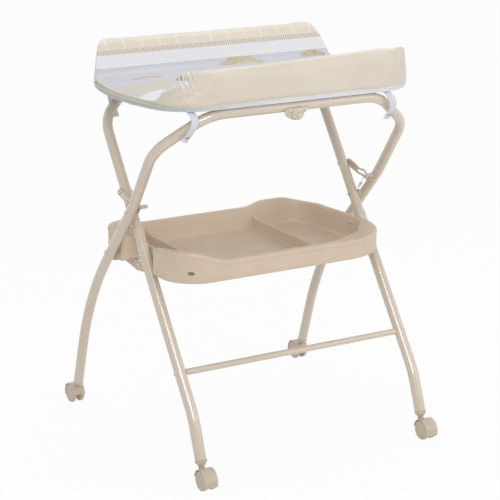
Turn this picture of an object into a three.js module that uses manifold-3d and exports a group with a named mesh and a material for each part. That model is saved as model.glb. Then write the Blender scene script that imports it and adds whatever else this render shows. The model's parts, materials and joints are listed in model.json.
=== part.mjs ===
// Folding changing table: two crossed tube frames on casters, a storage tray between the legs,
// and a padded changing mat on a board that rests on the two top bars.
// Millimetres. X runs along the table, Y to the back, Z up. The origin is on the floor at the
// middle of the caster footprint.
import * as THREE from 'three';
import { mergeVertices } from 'three/addons/utils/BufferGeometryUtils.js';
import Module from 'manifold-3d';

const wasm = await Module();
wasm.setup();
const { Manifold, Mesh } = wasm;

// ---- driving dimensions ------------------------------------------------------------------
const rad = (deg) => deg * Math.PI / 180;
const FIT = 0.3;                    // clearance between parts that rest against or slide on each other

const tubeR = 13;                   // both upper frames
const legR = 14;                    // front legs below the seam
const tubeWall = 1.2;
const tubeSides = 12;
const boreSides = 6;

const frontX = 321;                 // leg axis, half the spacing of the front (inner) frame
const rearX = 356;                  // the same for the rear (outer) frame
const pivotZ = 573;                 // crossing of the two frames
const barZ = 882;                   // axis of both top bars

const frontLean = 35.76;            // front frame off vertical, from the top bar to the knee
const frontKneeZ = 163.5;
const frontFootLean = 20.5;
const frontKneeR = 220;
const seamZ = 530;                  // joint of the front top tube and the two front legs
const legEndZ = 66;                 // lower end of both frames' tubes

const rearLean = 42.5;              // rear frame off vertical, around the crossing
const rearTopLean = 35;             // above the shoulder
const rearShoulderZ = 642;
const rearShoulderR = 420;
const rearKneeZ = 332;
const rearFootLean = 18;
const rearKneeR = 750;

const frontCorner = { drop: 86, inset: 96, legR: 96, barR: 96 };    // cut-off corner below the bar
const rearCorner = { drop: 107, inset: 117, legR: 88, barR: 120 };

const crossbarR = 8.1;
const crossbarWall = 3.6;
const crossbarZ = 255;
const crossbarGrip = 14;            // how far its end bolts reach in past the legs

const boltR = 3;                    // M6 bolts
const boltHeadR = 5.6;
const boltHeadT = 3.2;
const boltHole = boltR + 0.25;
const holeReach = 20;               // half length of a drilled hole, more than any tube's radius
const spacerR = 9;                  // washer between the two frames at the crossing

const trayBoltZ = 508;
const hookPinZ = 488;

const stayPivotReach = 90;          // stay pivot from the crossing, along the front frame
const stayPinReach = 64;            // stay pin from the crossing, along the rear frame
const stayT = 3;
const foldMax = 45;
const stayFollow = 0.106;           // stay turn for each degree of folding
const slotOver = 1.02;              // slot length over what the folding needs
const tabR = 4.4;                   // finger tab at the stay's nose
const tabReach = 26;
const tabAlong = 12;
const tabAbove = 17;

const stemCrossZ = 54;              // height where a caster stem meets the line of its leg
const casterTrail = 22;
const wheelR = 25;
const wheelW = 11.5;
const casterW = 35;
const hoodR = 28.6;
const hoodT = 2.2;
const hoodOpenZ = 13;               // height of the hood's lower edge
const hoodBackZ = 27;               // and of its edge under the stem
const wheelGap = 0.6;
const axleR = 3;
const stemR = 5.2;
const stemTopZ = 68;
const bossR = 8;
const bossTopZ = 50;
const boreGap = 0.25;               // clearance around an axle or a screw
const wheelHubR = 7;                // proud hub and rim of a wheel, with a shallow ring between
const wheelRimW = 7.5;
const wheelDish = 2;
const plugLip = 0.6;                // plug rim proud of its tube
const plugRimT = 5.5;
const plugDome = 14;                // plug reach below and inside the tube's end
const plugSpigot = 12;

const boardT = 7;
const matHalfX = 378;
const matHalfY = 245;
const matCorner = 75;
const matBow = 50;                  // how far the short ends bow out
const matPad = 14;                  // padding over the board in the middle
const bolsterH = 82;
const bolsterRun = 78;              // width of the slope inside each raised side
const bolsterTop = 10;              // width of its crest
const boardInset = 3;
const boardShift = 4;               // board centre in front of the middle of the two bars

const trayTopZ = 526;               // rim
const trayFloorZ = 466;             // underside of the tub
const skirtZ = 475;                 // lower edge of the skirt
const trayT = 3;
const trayShift = 17;               // tray centre behind its bolts
const trayHalfY = 214;
const trayX = 305;                  // right side, and the left side beside the front leg
const trayFrontX = 332;             // left side in front of that leg
const trayBackX = 338;              // left side behind it
const cornerFR = 150;
const cornerBR = 95;
const cornerBL = 65;
const cornerFL = 95;
const notchFront = -60;             // stretch of the left side beside the front leg
const notchBack = 66;
const stepL = 18;
const lipW = 19;
const lipExtra = 30;                // how much wider the lip grows around the front right corner
const lipLead = 24;                 // it starts this far before the corner on the right side,
const lipRun = 65;                  // this far before it on the front, and is full as far past
const wallDraft = 10;
const raiseFrontTo = 190;
const raiseFrontH = 16;
const raiseFrom = 85;
const raiseBackH = 13;
const raiseTo = 235;
const raiseEnds = [115, 25];        // the back right rise falls off between these from the side
const raiseDepth = [134, 84];       // and comes in between these from the back
const raiseLeftDepth = [94, 34];
const lipBack = 13;
const lipBackEnds = [98, 38];       // the back left lip widens between these from the side
const lipBackRun = 29;
const dividerX = [-210, 108];
const dividerT = 9;
const dividerTopZ = 498;
const trayBossR = 8;
const collarR = 8;
const collarGap = 2;

const springR = 2.7;
const springWire = 0.7;
const springL = 18;
const springTurns = 6;
const springHook = 78;              // its upper seat on the stay, from the stay's pivot
const springAt = 20;                // coil centre from where the wire passes the spacer
const springPast = 2;               // wire beyond that

const strapW = 19;
const strapT = 1.6;
const strapInset = 75;              // straps inside the rear frame's legs
const strapTuck = 18;               // length of the strap flat under the board
const strapEnd = 76;                // end of the strap from the bar, down the frame
const strapStud = 62;               // the stud, on the same run
const studR = 4.6;
const studH = 2;

const catchX = -11;
const catchW = 56;
const catchH = 30;
const catchT = 3;
const catchAbove = 3;               // plate above the bar's axis
const catchScrewX = [-17, 22];
const catchScrewL = 6;
const catchKnobX = 6;
const catchKnobDrop = 24;
const knobR = 5;
const knobH = 6;
const screwR = 2;
const screwHeadR = 4;
const screwHeadT = 2;

const clipInset = 40;               // clip from the tip of the mat's bowed end
const clipW = 12;
const clipL = 48;
const clipT = 2.5;
const clipDrop = 12;
const clipShift = -6;               // clip centre from the middle of the board

// ---- side profile of the two frames ------------------------------------------------------
const frontSlope = Math.tan(rad(frontLean));
const rearSlope = Math.tan(rad(rearLean));
const rearTopSlope = Math.tan(rad(rearTopLean));
// runs from the crossing to each foot, as a function of height
const frontRun = (z) => (pivotZ - Math.max(z, frontKneeZ)) * frontSlope
  + Math.max(frontKneeZ - z, 0) * Math.tan(rad(frontFootLean));
const rearRun = (z) => (pivotZ - Math.max(z, rearKneeZ)) * rearSlope
  + Math.max(rearKneeZ - z, 0) * Math.tan(rad(rearFootLean));
const frontReach = frontRun(stemCrossZ) + casterTrail;
const rearReach = rearRun(stemCrossZ) + casterTrail;
const pivotY = (frontReach - rearReach) / 2;
const frontY = (z) => pivotY - frontRun(z);
const rearY = (z) => (z > pivotZ
  ? pivotY - (Math.min(z, rearShoulderZ) - pivotZ) * rearSlope
    - Math.max(z - rearShoulderZ, 0) * rearTopSlope
  : pivotY + rearRun(z));
const boardZ = barZ + tubeR + FIT;

// ---- solids ------------------------------------------------------------------------------
const V = (x, y, z) => new THREE.Vector3(x, y, z);

// position-only, welded, facing out
function solid(geometry) {
  const bare = new THREE.BufferGeometry();
  const flat = geometry.index ? geometry.toNonIndexed() : geometry;
  bare.setAttribute('position', flat.getAttribute('position').clone());
  const welded = mergeVertices(bare, 1e-4);
  const p = welded.getAttribute('position').array;
  const source = Array.from(welded.index.array);
  const index = [];
  let volume = 0;
  for (let i = 0; i < source.length; i += 3) {
    const [a, b, c] = source.slice(i, i + 3);
    if (a === b || b === c || c === a) continue;
    index.push(a, b, c);
    volume += V(...p.slice(3 * a, 3 * a + 3)).dot(
      V(...p.slice(3 * b, 3 * b + 3)).cross(V(...p.slice(3 * c, 3 * c + 3))));
  }
  const outward = volume < 0 ? index.reverse() : index;
  return new Manifold(new Mesh({
    numProp: 3, vertProperties: new Float32Array(p), triVerts: new Uint32Array(outward),
  }));
}

function toGeometry(manifold) {
  const mesh = manifold.getMesh();
  const g = new THREE.BufferGeometry();
  g.setAttribute('position', new THREE.BufferAttribute(new Float32Array(mesh.vertProperties), 3));
  g.setIndex(new THREE.BufferAttribute(new Uint32Array(mesh.triVerts), 1));
  return g;
}

const placed = (geometry, matrix) => geometry.clone().applyMatrix4(matrix);
const box = (x, y, z, at) => solid(new THREE.BoxGeometry(x, y, z).translate(at.x, at.y, at.z));
// a round bar along X from x0 to x1
function rodX(r, x0, x1, y, z, sides = 12) {
  const g = new THREE.CylinderGeometry(r, r, Math.abs(x1 - x0), sides);
  return solid(g.rotateZ(Math.PI / 2).translate((x0 + x1) / 2, y, z));
}
function rodZ(r, z0, z1, x, y, sides = 16) {
  return solid(new THREE.CylinderGeometry(r, r, z1 - z0, sides).rotateX(Math.PI / 2)
    .translate(x, y, (z0 + z1) / 2));
}
function rodY(r, y0, y1, x, z, sides = 12) {
  return solid(new THREE.CylinderGeometry(r, r, Math.abs(y1 - y0), sides)
    .translate(x, (y0 + y1) / 2, z));
}
const union = (list) => list.reduce((a, b) => a.add(b));

// ---- bent tubes --------------------------------------------------------------------------
// the sides of a tube's section face X, so what seats on a tube seats on a flat
const flatOf = (r) => r * Math.cos(Math.PI / tubeSides);
const tubeFlat = flatOf(tubeR);
const legFlat = flatOf(legR);

// a path of straight runs joined by round bends, sampled only where it turns
class BentPath extends THREE.Curve {
  constructor(corners, radii, bendStep = 13) {
    super();
    this.at = [];
    this.dir = [];
    const push = (p, d) => {
      this.at.push(p);
      this.dir.push(d.clone().normalize());
    };
    const n = corners.length;
    push(corners[0], corners[1].clone().sub(corners[0]));
    for (let i = 1; i < n - 1; i += 1) {
      const a = corners[i].clone().sub(corners[i - 1]).normalize();
      const b = corners[i + 1].clone().sub(corners[i]).normalize();
      const turn = a.angleTo(b);
      const r = radii[i - 1];
      if (!r) {
        push(corners[i], a.clone().add(b));
        continue;
      }
      const inward = b.clone().sub(a.clone().multiplyScalar(a.dot(b))).normalize();
      const start = corners[i].clone().addScaledVector(a, -r * Math.tan(turn / 2));
      const steps = Math.max(2, Math.ceil(turn / rad(bendStep)));
      for (let k = 0; k <= steps; k += 1) {
        const t = turn * k / steps;
        const p = start.clone().addScaledVector(a, r * Math.sin(t));
        p.addScaledVector(inward, r * (1 - Math.cos(t)));
        push(p, a.clone().multiplyScalar(Math.cos(t)).addScaledVector(inward, Math.sin(t)));
      }
    }
    push(corners[n - 1], corners[n - 1].clone().sub(corners[n - 2]));
    this.steps = this.at.length - 1;
  }

  getPointAt(u, target = new THREE.Vector3()) {
    return target.copy(this.at[Math.round(u * this.steps)]);
  }

  getTangentAt(u, target = new THREE.Vector3()) {
    return target.copy(this.dir[Math.round(u * this.steps)]);
  }

  getSpacedPoints() {
    return this.at.map((p) => p.clone());
  }
}

function circle(r, sides) {
  return Array.from({ length: sides }, (_, i) => {
    const t = 2 * Math.PI * (i + 0.5) / sides;
    return new THREE.Vector2(r * Math.cos(t), r * Math.sin(t));
  });
}

function sweep(path, shape) {
  const settings = { extrudePath: path, steps: path.steps, bevelEnabled: false };
  return solid(new THREE.ExtrudeGeometry(shape, settings));
}

function tube(path, r, wall) {
  const shape = new THREE.Shape(circle(r, tubeSides));
  if (wall) shape.holes.push(new THREE.Path(circle(r - wall, boreSides)));
  return sweep(path, shape);
}

// half of a U frame from a leg up to the middle of the bar; the other half is its mirror
function frameCorners(x, y, corner, lean, side) {
  const down = (s) => V(0, y(barZ) + Math.sin(rad(lean)) * s, barZ - Math.cos(rad(lean)) * s);
  const low = down(corner.drop);
  return [V(side * x, low.y, low.z), V(side * (x - corner.inset), y(barZ), barZ)];
}

// ---- parts -------------------------------------------------------------------------------
const parts = new Map();
const palette = {
  paint: [0xd6c9b8, 0.35, 0.0], cover: [0xdcd2c4, 0.5, 0.0], board: [0xe6e8e4, 0.5, 0.0],
  plastic: [0xd2c2a8, 0.45, 0.0], steel: [0x9a9b9c, 0.35, 0.9], webbing: [0xe6e8ef, 0.7, 0.0],
};
function part(name, body, kind) {
  const [color, roughness, metalness] = palette[kind];
  parts.set(name, { body, material: new THREE.MeshStandardMaterial({ color, roughness, metalness }) });
}
const sides = [['left', -1], ['right', 1]];
const crossHole = (s, x, y, z) => rodX(boltHole, s * (x - holeReach), s * (x + holeReach), y, z);

// front frame: an upper U tube and two legs, with the holes for its bolts
const frontBarY = pivotY + (barZ - pivotZ) * frontSlope;
const frontAxisY = (z) => pivotY + (z - pivotZ) * frontSlope;
{
  const along = V(0, Math.sin(rad(frontLean)), Math.cos(rad(frontLean)));
  const seamEnd = (side) => V(side * frontX, frontAxisY(seamZ), seamZ);
  const half = (side) => [
    seamEnd(side).addScaledVector(along, FIT),
    ...frameCorners(frontX, frontAxisY, frontCorner, -frontLean, side),
  ];
  const c = frontCorner;
  const path = new BentPath([...half(-1), ...half(1).reverse()], [c.legR, c.barR, c.barR, c.legR]);
  const holes = sides.flatMap(([, s]) => [
    crossHole(s, frontX, pivotY, pivotZ),
    crossHole(s, frontX, pivotY + stayPivotReach * along.y, pivotZ + stayPivotReach * along.z),
  ]);
  part('front_top_tube', tube(path, tubeR, tubeWall).subtract(union(holes)), 'paint');
}
for (const [side, s] of sides) {
  const corners = [seamZ, frontKneeZ, legEndZ].map((z) => V(s * frontX, frontY(z), z));
  const path = new BentPath(corners, [frontKneeR], 6);
  const holes = [trayBoltZ, crossbarZ].map((z) => crossHole(s, frontX, frontY(z), z));
  part(`front_leg_${side}`, tube(path, legR, tubeWall).subtract(union(holes)), 'paint');
}

// rear frame: one tube from foot to foot
const rearBarY = rearY(barZ);
const catchFaceY = rearBarY - tubeR - FIT;
const rearAxisDir = (lean) => V(0, -Math.sin(rad(lean)), Math.cos(rad(lean)));
const stayPivotAt = V(0, pivotY + stayPivotReach * Math.sin(rad(frontLean)),
  pivotZ + stayPivotReach * Math.cos(rad(frontLean)));
const stayPinAt = V(0, pivotY, pivotZ).addScaledVector(rearAxisDir(rearLean), stayPinReach);
{
  const half = (s) => {
    const [low, bar] = frameCorners(rearX, rearY, rearCorner, rearTopLean, s);
    const leg = [legEndZ, rearKneeZ, rearShoulderZ].map((z) => V(s * rearX, rearY(z), z));
    return [...leg, low, bar];
  };
  const c = rearCorner;
  const radii = [rearKneeR, rearShoulderR, c.legR, c.barR];
  const path = new BentPath([...half(-1), ...half(1).reverse()], [...radii, ...[...radii].reverse()], 12);
  const drilled = [[pivotY, pivotZ], [stayPinAt.y, stayPinAt.z], [rearY(hookPinZ), hookPinZ]];
  const holes = sides.flatMap(([, s]) => drilled.map(([y, z]) => crossHole(s, rearX, y, z)));
  const screwHoles = catchScrewX.map((x) => (
    rodY(screwR + FIT, catchFaceY - catchScrewL, catchFaceY + catchScrewL + 2, catchX + x, barZ)));
  part('rear_frame_tube', tube(path, tubeR, tubeWall).subtract(union([...holes, ...screwHoles])), 'paint');
}

// bolts: a plain shank with a round head outside, and one inside where asked
function bolt(s, inner, outer, y, z, innerHead = true) {
  const pieces = [
    rodX(boltR, s * inner, s * outer, y, z),
    rodX(boltHeadR, s * outer, s * (outer + boltHeadT), y, z),
  ];
  if (innerHead) pieces.push(rodX(boltHeadR, s * (inner - boltHeadT), s * inner, y, z));
  return union(pieces);
}
const gapIn = frontX + tubeFlat;    // faces of the gap between the two frames
const gapOut = rearX - tubeFlat;
const stayX = (gapIn + gapOut) / 2 + 0.5;
for (const [side, s] of sides) {
  const innerFace = frontX - tubeFlat - FIT;
  const outerFace = rearX + tubeFlat + FIT;
  part(`pivot_bolt_${side}`, bolt(s, innerFace, outerFace, pivotY, pivotZ), 'steel');
  const washer = rodX(spacerR, s * (gapIn + FIT), s * (gapOut - FIT), pivotY, pivotZ, 20);
  part(`pivot_spacer_${side}`, washer.subtract(crossHole(s, gapIn, pivotY, pivotZ)), 'plastic');
  const stayFace = stayX + stayT / 2 + FIT;
  part(`stay_bolt_${side}`, bolt(s, innerFace, stayFace, stayPivotAt.y, stayPivotAt.z), 'steel');
  const pinTip = stayX - stayT / 2 - 1;
  part(`stay_pin_${side}`, bolt(s, pinTip, outerFace, stayPinAt.y, stayPinAt.z, false), 'steel');
  const barTip = frontX - legR - crossbarGrip;
  const legFace = frontX + legFlat + FIT;
  part(`crossbar_bolt_${side}`, bolt(s, barTip, legFace, frontY(crossbarZ), crossbarZ, false), 'steel');
}

// crossbar between the front legs, hollow, its ends stopping short of the round legs
{
  const y = frontY(crossbarZ);
  const end = frontX - legR - FIT;
  const bar = new BentPath([V(-end, y, crossbarZ), V(end, y, crossbarZ)], []);
  part('crossbar', tube(bar, crossbarR, crossbarWall), 'paint');
}

// ---- lock stays --------------------------------------------------------------------------
// A flat plate hinged on the front frame; the rear frame's pin runs in its slot. The slot is the
// pin's own path in the plate as the frame folds, so its line is worked out from the two reaches.
function pinInStay(fold) {
  const open = rad(90) + rad(rearLean);       // direction of the pin seen from the crossing
  const pivot = new THREE.Vector2(Math.sin(rad(frontLean)), Math.cos(rad(frontLean)));
  pivot.multiplyScalar(stayPivotReach);
  const a = open - rad(fold);
  const pin = new THREE.Vector2(Math.cos(a), Math.sin(a)).multiplyScalar(stayPinReach);
  return pin.sub(pivot).rotateAround(new THREE.Vector2(), rad(stayFollow * fold));
}
const stayPin = pinInStay(0);
const stayDir = stayPin.angle();
const slotR = boltR + 1;
const slotNotch = 3;
const railLow = slotR + 1.5;        // lower edge of the plate beside the slot
{
  const steps = 6;
  const origin = new THREE.Vector2();
  const line = Array.from({ length: steps + 1 }, (_, i) => (
    pinInStay(foldMax * slotOver * i / steps).rotateAround(origin, -stayDir)));
  // the slot's edge, notched upward where the pin rests open and half folded
  const beside = (i, d) => {
    const q = line[Math.min(i + 1, steps)].clone().sub(line[Math.max(i - 1, 0)]).normalize();
    return new THREE.Vector2(line[i].x - q.y * d, line[i].y + q.x * d);
  };
  const cap = (c, from, count) => Array.from({ length: count }, (_, k) => (
    new THREE.Vector2(slotR, 0).rotateAround(origin, rad(from - 45 * k)).add(c)));
  const upper = line.map((p, i) => beside(i, i % 3 === 0 && i < steps ? slotR + slotNotch : slotR));
  const lower = line.map((p, i) => beside(i, -slotR)).reverse();
  const slot = new THREE.Path([...upper.slice(0, -1), ...cap(line[steps], 270, 5), ...lower.slice(1, -1),
    ...cap(line[0], 90, 4)]);
  const reach = stayPin.length();
  // plate outline, y upward: rounded at the pivot, two humps over the notches, a nose past the pin
  const edge = [
    [-9, 3], [-5, 9], [4, 11.5], [26, 11.5], [50, 9], [62, 11], [69, 15], [80, 14.5], [86, 10.5],
    [reach - 6, 11.5], [reach, 16], [reach + 8, 20.5], [reach + 15, 22], [reach + 18, 16],
    [reach + 11, 4], [reach + 8, -4], [reach - 2, -railLow], [68, -railLow], [50, -8.5], [20, -9],
    [-4, -9], [-9, -4],
  ];
  const plate = new THREE.Shape(edge.map(([x, y]) => new THREE.Vector2(x, -y)));
  plate.holes.push(new THREE.Path(circle(boltHole, 12)), slot);
  const flat = new THREE.ExtrudeGeometry(plate, { depth: stayT, bevelEnabled: false });
  flat.translate(0, 0, -stayT / 2);
  for (const [side, s] of sides) {
    // plate axes: its length along the line from pivot to pin, its face across X
    const m = new THREE.Matrix4().makeBasis(
      V(0, Math.cos(stayDir), Math.sin(stayDir)), V(0, -Math.sin(stayDir), Math.cos(stayDir)), V(1, 0, 0));
    m.setPosition(s * stayX, stayPivotAt.y, stayPivotAt.z);
    // finger tab turned inward at the nose
    const nose = V(reach + tabAlong, -tabAbove, 0).applyMatrix4(m);
    const tab = rodX(tabR, nose.x + s * stayT / 2, nose.x - s * tabReach, nose.y, nose.z, 12);
    part(`lock_stay_${side}`, solid(placed(flat, m)).add(tab), 'paint');
  }
}

// ---- casters -----------------------------------------------------------------------------
// a round shell over twin wheels, open below, on a swivel stem
const wheelSides = 22;
const flatR = wheelR / Math.cos(Math.PI / wheelSides);      // its flats are tangent to the tread
const webT = casterW - 2 * (wheelW + wheelGap);
const turned = (profile, segments) => (
  new THREE.LatheGeometry(profile.map(([r, x]) => new THREE.Vector2(r, x)), segments));
function casterHood(x, wheelY, stemY) {
  const inward = Math.sign(wheelY - stemY);
  const drum = (r, x0, x1) => rodX(r, x0, x1, wheelY, wheelR, 32);
  const boss = rodZ(bossR, wheelR + 6, bossTopZ, x, stemY, 20);
  let hood = drum(hoodR, x - casterW / 2, x + casterW / 2).add(boss);
  for (const s of [-1, 1]) {
    hood = hood.subtract(drum(hoodR - hoodT, x + s * webT / 2, x + s * (casterW / 2 + 1)));
  }
  // open below, and cut higher under the stem
  const below = box(casterW + 2, 3 * hoodR, 2 * hoodOpenZ, V(x, wheelY, 0));
  const under = box(casterW + 2, hoodR, 2 * hoodBackZ, V(x, wheelY - inward * hoodR * 0.85, 0));
  const bore = rodX(axleR + boreGap, x - casterW, x + casterW, wheelY, wheelR, 12);
  return hood.subtract(below).subtract(under).subtract(bore)
    .add(rodZ(stemR, bossTopZ - 2, stemTopZ, x, stemY, 12));
}
const hub = axleR + FIT;
const dishX = wheelW - wheelDish;
const wheelProfile = [
  [hub, 0], [wheelR - 3, 0], [flatR, 2], [flatR, wheelW - 2.5], [wheelR - 2, wheelW],
  [wheelR - wheelRimW + 1.5, wheelW], [wheelR - wheelRimW, dishX], [wheelHubR + 1, dishX],
  [wheelHubR, wheelW], [hub, wheelW], [hub, 0],
];
function plug(x, stemY, axisY, lean, r) {
  // rim and dome on the tube's end, a spigot inside it, bored upright for the stem
  const along = new THREE.Matrix4().makeRotationX(-lean);
  along.setPosition(x, axisY(legEndZ), legEndZ);
  const [lip, spigot] = [r + plugLip, r * 0.75];
  const profile = [
    [0, -plugDome], [bossR, -plugDome], [r - 1.8, -plugRimT - 4], [lip, -plugRimT], [lip, -FIT],
    [spigot, -FIT], [spigot, plugSpigot], [0, plugSpigot],
  ];
  const base = bossTopZ + FIT;                 // its flat underside, just over the caster's boss
  return solid(placed(turned(profile, 24).rotateX(Math.PI / 2), along))
    .subtract(rodZ(stemR + FIT, base - plugDome, stemTopZ + FIT, x, stemY, 12))
    .subtract(box(4 * r, 4 * r, 2 * plugDome, V(x, stemY, base - plugDome)));
}
const stations = [
  ['front', frontX, frontY, rad(frontFootLean), legR, -1],
  ['rear', rearX, rearY, -rad(rearFootLean), tubeR, 1],
];
for (const [end, legX, axisY, lean, r, outward] of stations) {
  const stemY = axisY(stemCrossZ);
  const wheelY = stemY + outward * casterTrail;
  for (const [side, s] of sides) {
    const x = s * legX;
    part(`leg_plug_${end}_${side}`, plug(x, stemY, axisY, lean, r), 'plastic');
    part(`caster_hood_${end}_${side}`, casterHood(x, wheelY, stemY), 'plastic');
    const axle = rodX(axleR, x - casterW / 2, x + casterW / 2, wheelY, wheelR, 12);
    part(`caster_axle_${end}_${side}`, axle, 'steel');
    for (const [place, t] of [['outer', s], ['inner', -s]]) {
      const wheel = turned(wheelProfile, wheelSides).rotateY(Math.PI / wheelSides)
        .rotateZ(-t * Math.PI / 2).translate(x + t * (webT / 2 + wheelGap), wheelY, wheelR);
      part(`wheel_${end}_${side}_${place}`, solid(wheel), 'plastic');
    }
  }
}

// ---- lock springs ------------------------------------------------------------------------
// A short coil with a straight tail at each end: the upper one butts on the stay's lower edge, the
// lower one passes beside the spacer at the crossing.
{
  const along = new THREE.Vector2(Math.cos(stayDir), Math.sin(stayDir));
  const under = new THREE.Vector2(-along.y, along.x);
  const hook = new THREE.Vector2(stayPivotAt.y - pivotY, stayPivotAt.z - pivotZ)
    .addScaledVector(along, springHook).addScaledVector(under, railLow + FIT + springWire / 2);
  const passR = spacerR + FIT + springWire;
  const heading = hook.angle() + Math.asin(passR / hook.length());
  const span = Math.sqrt(hook.lengthSq() - passR * passR);
  const middle = hook.clone().addScaledVector(
    new THREE.Vector2(Math.cos(heading), Math.sin(heading)), springAt - span);
  const perTurn = 7;
  const low = -springL / 2;
  const count = springTurns * perTurn;
  const coil = Array.from({ length: count + 1 }, (_, i) => {
    const a = 2 * Math.PI * i / perTurn;
    return V(springR * Math.cos(a), springR * Math.sin(a), low + springL * i / count);
  });
  const heights = [-springAt - springPast, low - 1, 1 - low, span - springAt];
  const tails = heights.map((z) => V(0, 0, z));
  const points = [...tails.slice(0, 2), ...coil, ...tails.slice(2)];
  const path = new BentPath(points, points.map(() => 0));
  const wire = toGeometry(sweep(path, new THREE.Shape(circle(springWire, 5))));
  for (const [side, s] of sides) {
    const turn = new THREE.Matrix4().makeRotationX(heading - rad(90));
    turn.setPosition(s * stayX, pivotY + middle.x, pivotZ + middle.y);
    part(`lock_spring_${side}`, solid(placed(wire, turn)), 'steel');
  }
}

// ---- changing board and mat --------------------------------------------------------------
const boardY = (frontBarY + rearBarY) / 2 - boardShift;
// plan outline, counter-clockwise: straight long edges, round corners, bowed short ends
function topOutline(inset) {
  const [hx, hy] = [matHalfX - inset, matHalfY - inset];
  const endX = (y) => hx - matBow * (y / hy) ** 2;
  const flat = hy - matCorner;
  const quarter = [0.33, 0.67].map((v) => [endX(v * flat), v * flat]);
  for (let i = 0; i <= 7; i += 1) {
    const a = Math.PI / 2 * i / 7;
    const y = flat + matCorner * Math.sin(a);
    quarter.push([endX(y) - matCorner * (1 - Math.cos(a)), y]);
  }
  const right = [...quarter.map(([x, y]) => [x, -y]).reverse(), [hx, 0], ...quarter];
  return [...right, ...right.map(([x, y]) => [-x, -y])].map(([x, y]) => new THREE.Vector2(x, y));
}
function topPrism(inset, z0, z1) {
  const shape = new THREE.Shape(topOutline(inset));
  const prism = new THREE.ExtrudeGeometry(shape, { depth: z1 - z0, bevelEnabled: false });
  return solid(prism.translate(0, boardY, z0));
}
const matZ = boardZ + boardT + FIT;
const matTopZ = matZ + matPad;
part('changing_board', topPrism(boardInset, boardZ, boardZ + boardT), 'board');
{
  // section across the table: flat in the middle, a raised side at each long edge
  const rise = (q) => bolsterH * q * q * (3 - 2 * q);
  const half = Array.from({ length: 8 }, (_, i) => i / 7)
    .map((q) => [matHalfY - bolsterTop - bolsterRun * (1 - q), matTopZ + rise(q)]);
  const crestZ = matTopZ + bolsterH;
  const outer = [[matHalfY - 5, crestZ - 2], [matHalfY + 5, crestZ - 8], [matHalfY + 5, matZ]];
  const right = [...half, ...outer];
  const section = new THREE.Shape([...right, ...right.map(([y, z]) => [-y, z]).reverse()]
    .map(([y, z]) => new THREE.Vector2(y, z)));
  const along = new THREE.Matrix4().makeBasis(V(0, 1, 0), V(0, 0, 1), V(1, 0, 0));
  along.setPosition(-matHalfX - 1, boardY, 0);
  const trough = new THREE.ExtrudeGeometry(section, { depth: 2 * matHalfX + 2, bevelEnabled: false });
  const mat = solid(placed(trough, along)).intersect(topPrism(0, matZ - 1, crestZ + 1));
  part('changing_mat', mat, 'cover');
}

// ---- straps ------------------------------------------------------------------------------
// A webbing flap under each corner of the board hangs over the near face of the tube beside it,
// and a press stud sits near its end.
const strapSeats = [
  { end: 'front', barY: rearBarY, slope: 1, lean: rad(rearTopLean), knee: 12, on: 28 },
  { end: 'rear', barY: frontBarY, slope: -1, lean: rad(frontLean), knee: 7, on: 12 },
];
for (const { end, barY, slope, lean, knee, on } of strapSeats) {
  const down = V(0, slope * Math.sin(lean), -Math.cos(lean));
  const near = V(0, -Math.cos(lean), -slope * Math.sin(lean));
  const at = (s, lift) => V(0, barY, barZ).addScaledVector(down, s).addScaledVector(near, lift);
  const face = tubeR + FIT + strapT / 2;
  const rootZ = boardZ - FIT - strapT / 2;
  const root = [barY - knee + strapTuck, barY - knee].map((y) => V(0, y, rootZ));
  const line = [...root, at(on, face), at(strapEnd, face)];
  for (const [side, s] of sides) {
    const path = new BentPath(line.map((p) => p.clone().setX(s * (rearX - strapInset))), [3, 12], 30);
    const [t, w] = [strapT / 2, strapW / 2];
    const section = [[-t, -w], [t, -w], [t, w], [-t, w]].map(([a, b]) => new THREE.Vector2(a, b));
    part(`strap_${end}_${side}`, sweep(path, new THREE.Shape(section)), 'webbing');
    const seat = at(strapStud, face + strapT / 2 + FIT + studH / 2).setX(s * (rearX - strapInset));
    const stud = new THREE.CylinderGeometry(studR, studR + 0.8, studH, 16);
    const turn = new THREE.Matrix4().makeRotationFromQuaternion(
      new THREE.Quaternion().setFromUnitVectors(V(0, 1, 0), near)).setPosition(seat);
    part(`strap_stud_${end}_${side}`, solid(placed(stud, turn)), 'steel');
  }
}

// ---- tray --------------------------------------------------------------------------------
// A tub inside a skirt. Its left side steps in beside the front leg and out again in front of it
// and behind it; its right side is straight.
const trayY = frontY(trayBoltZ) + trayShift;
const ramp = (v, a, b) => THREE.MathUtils.smoothstep(v, a, b);
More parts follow.
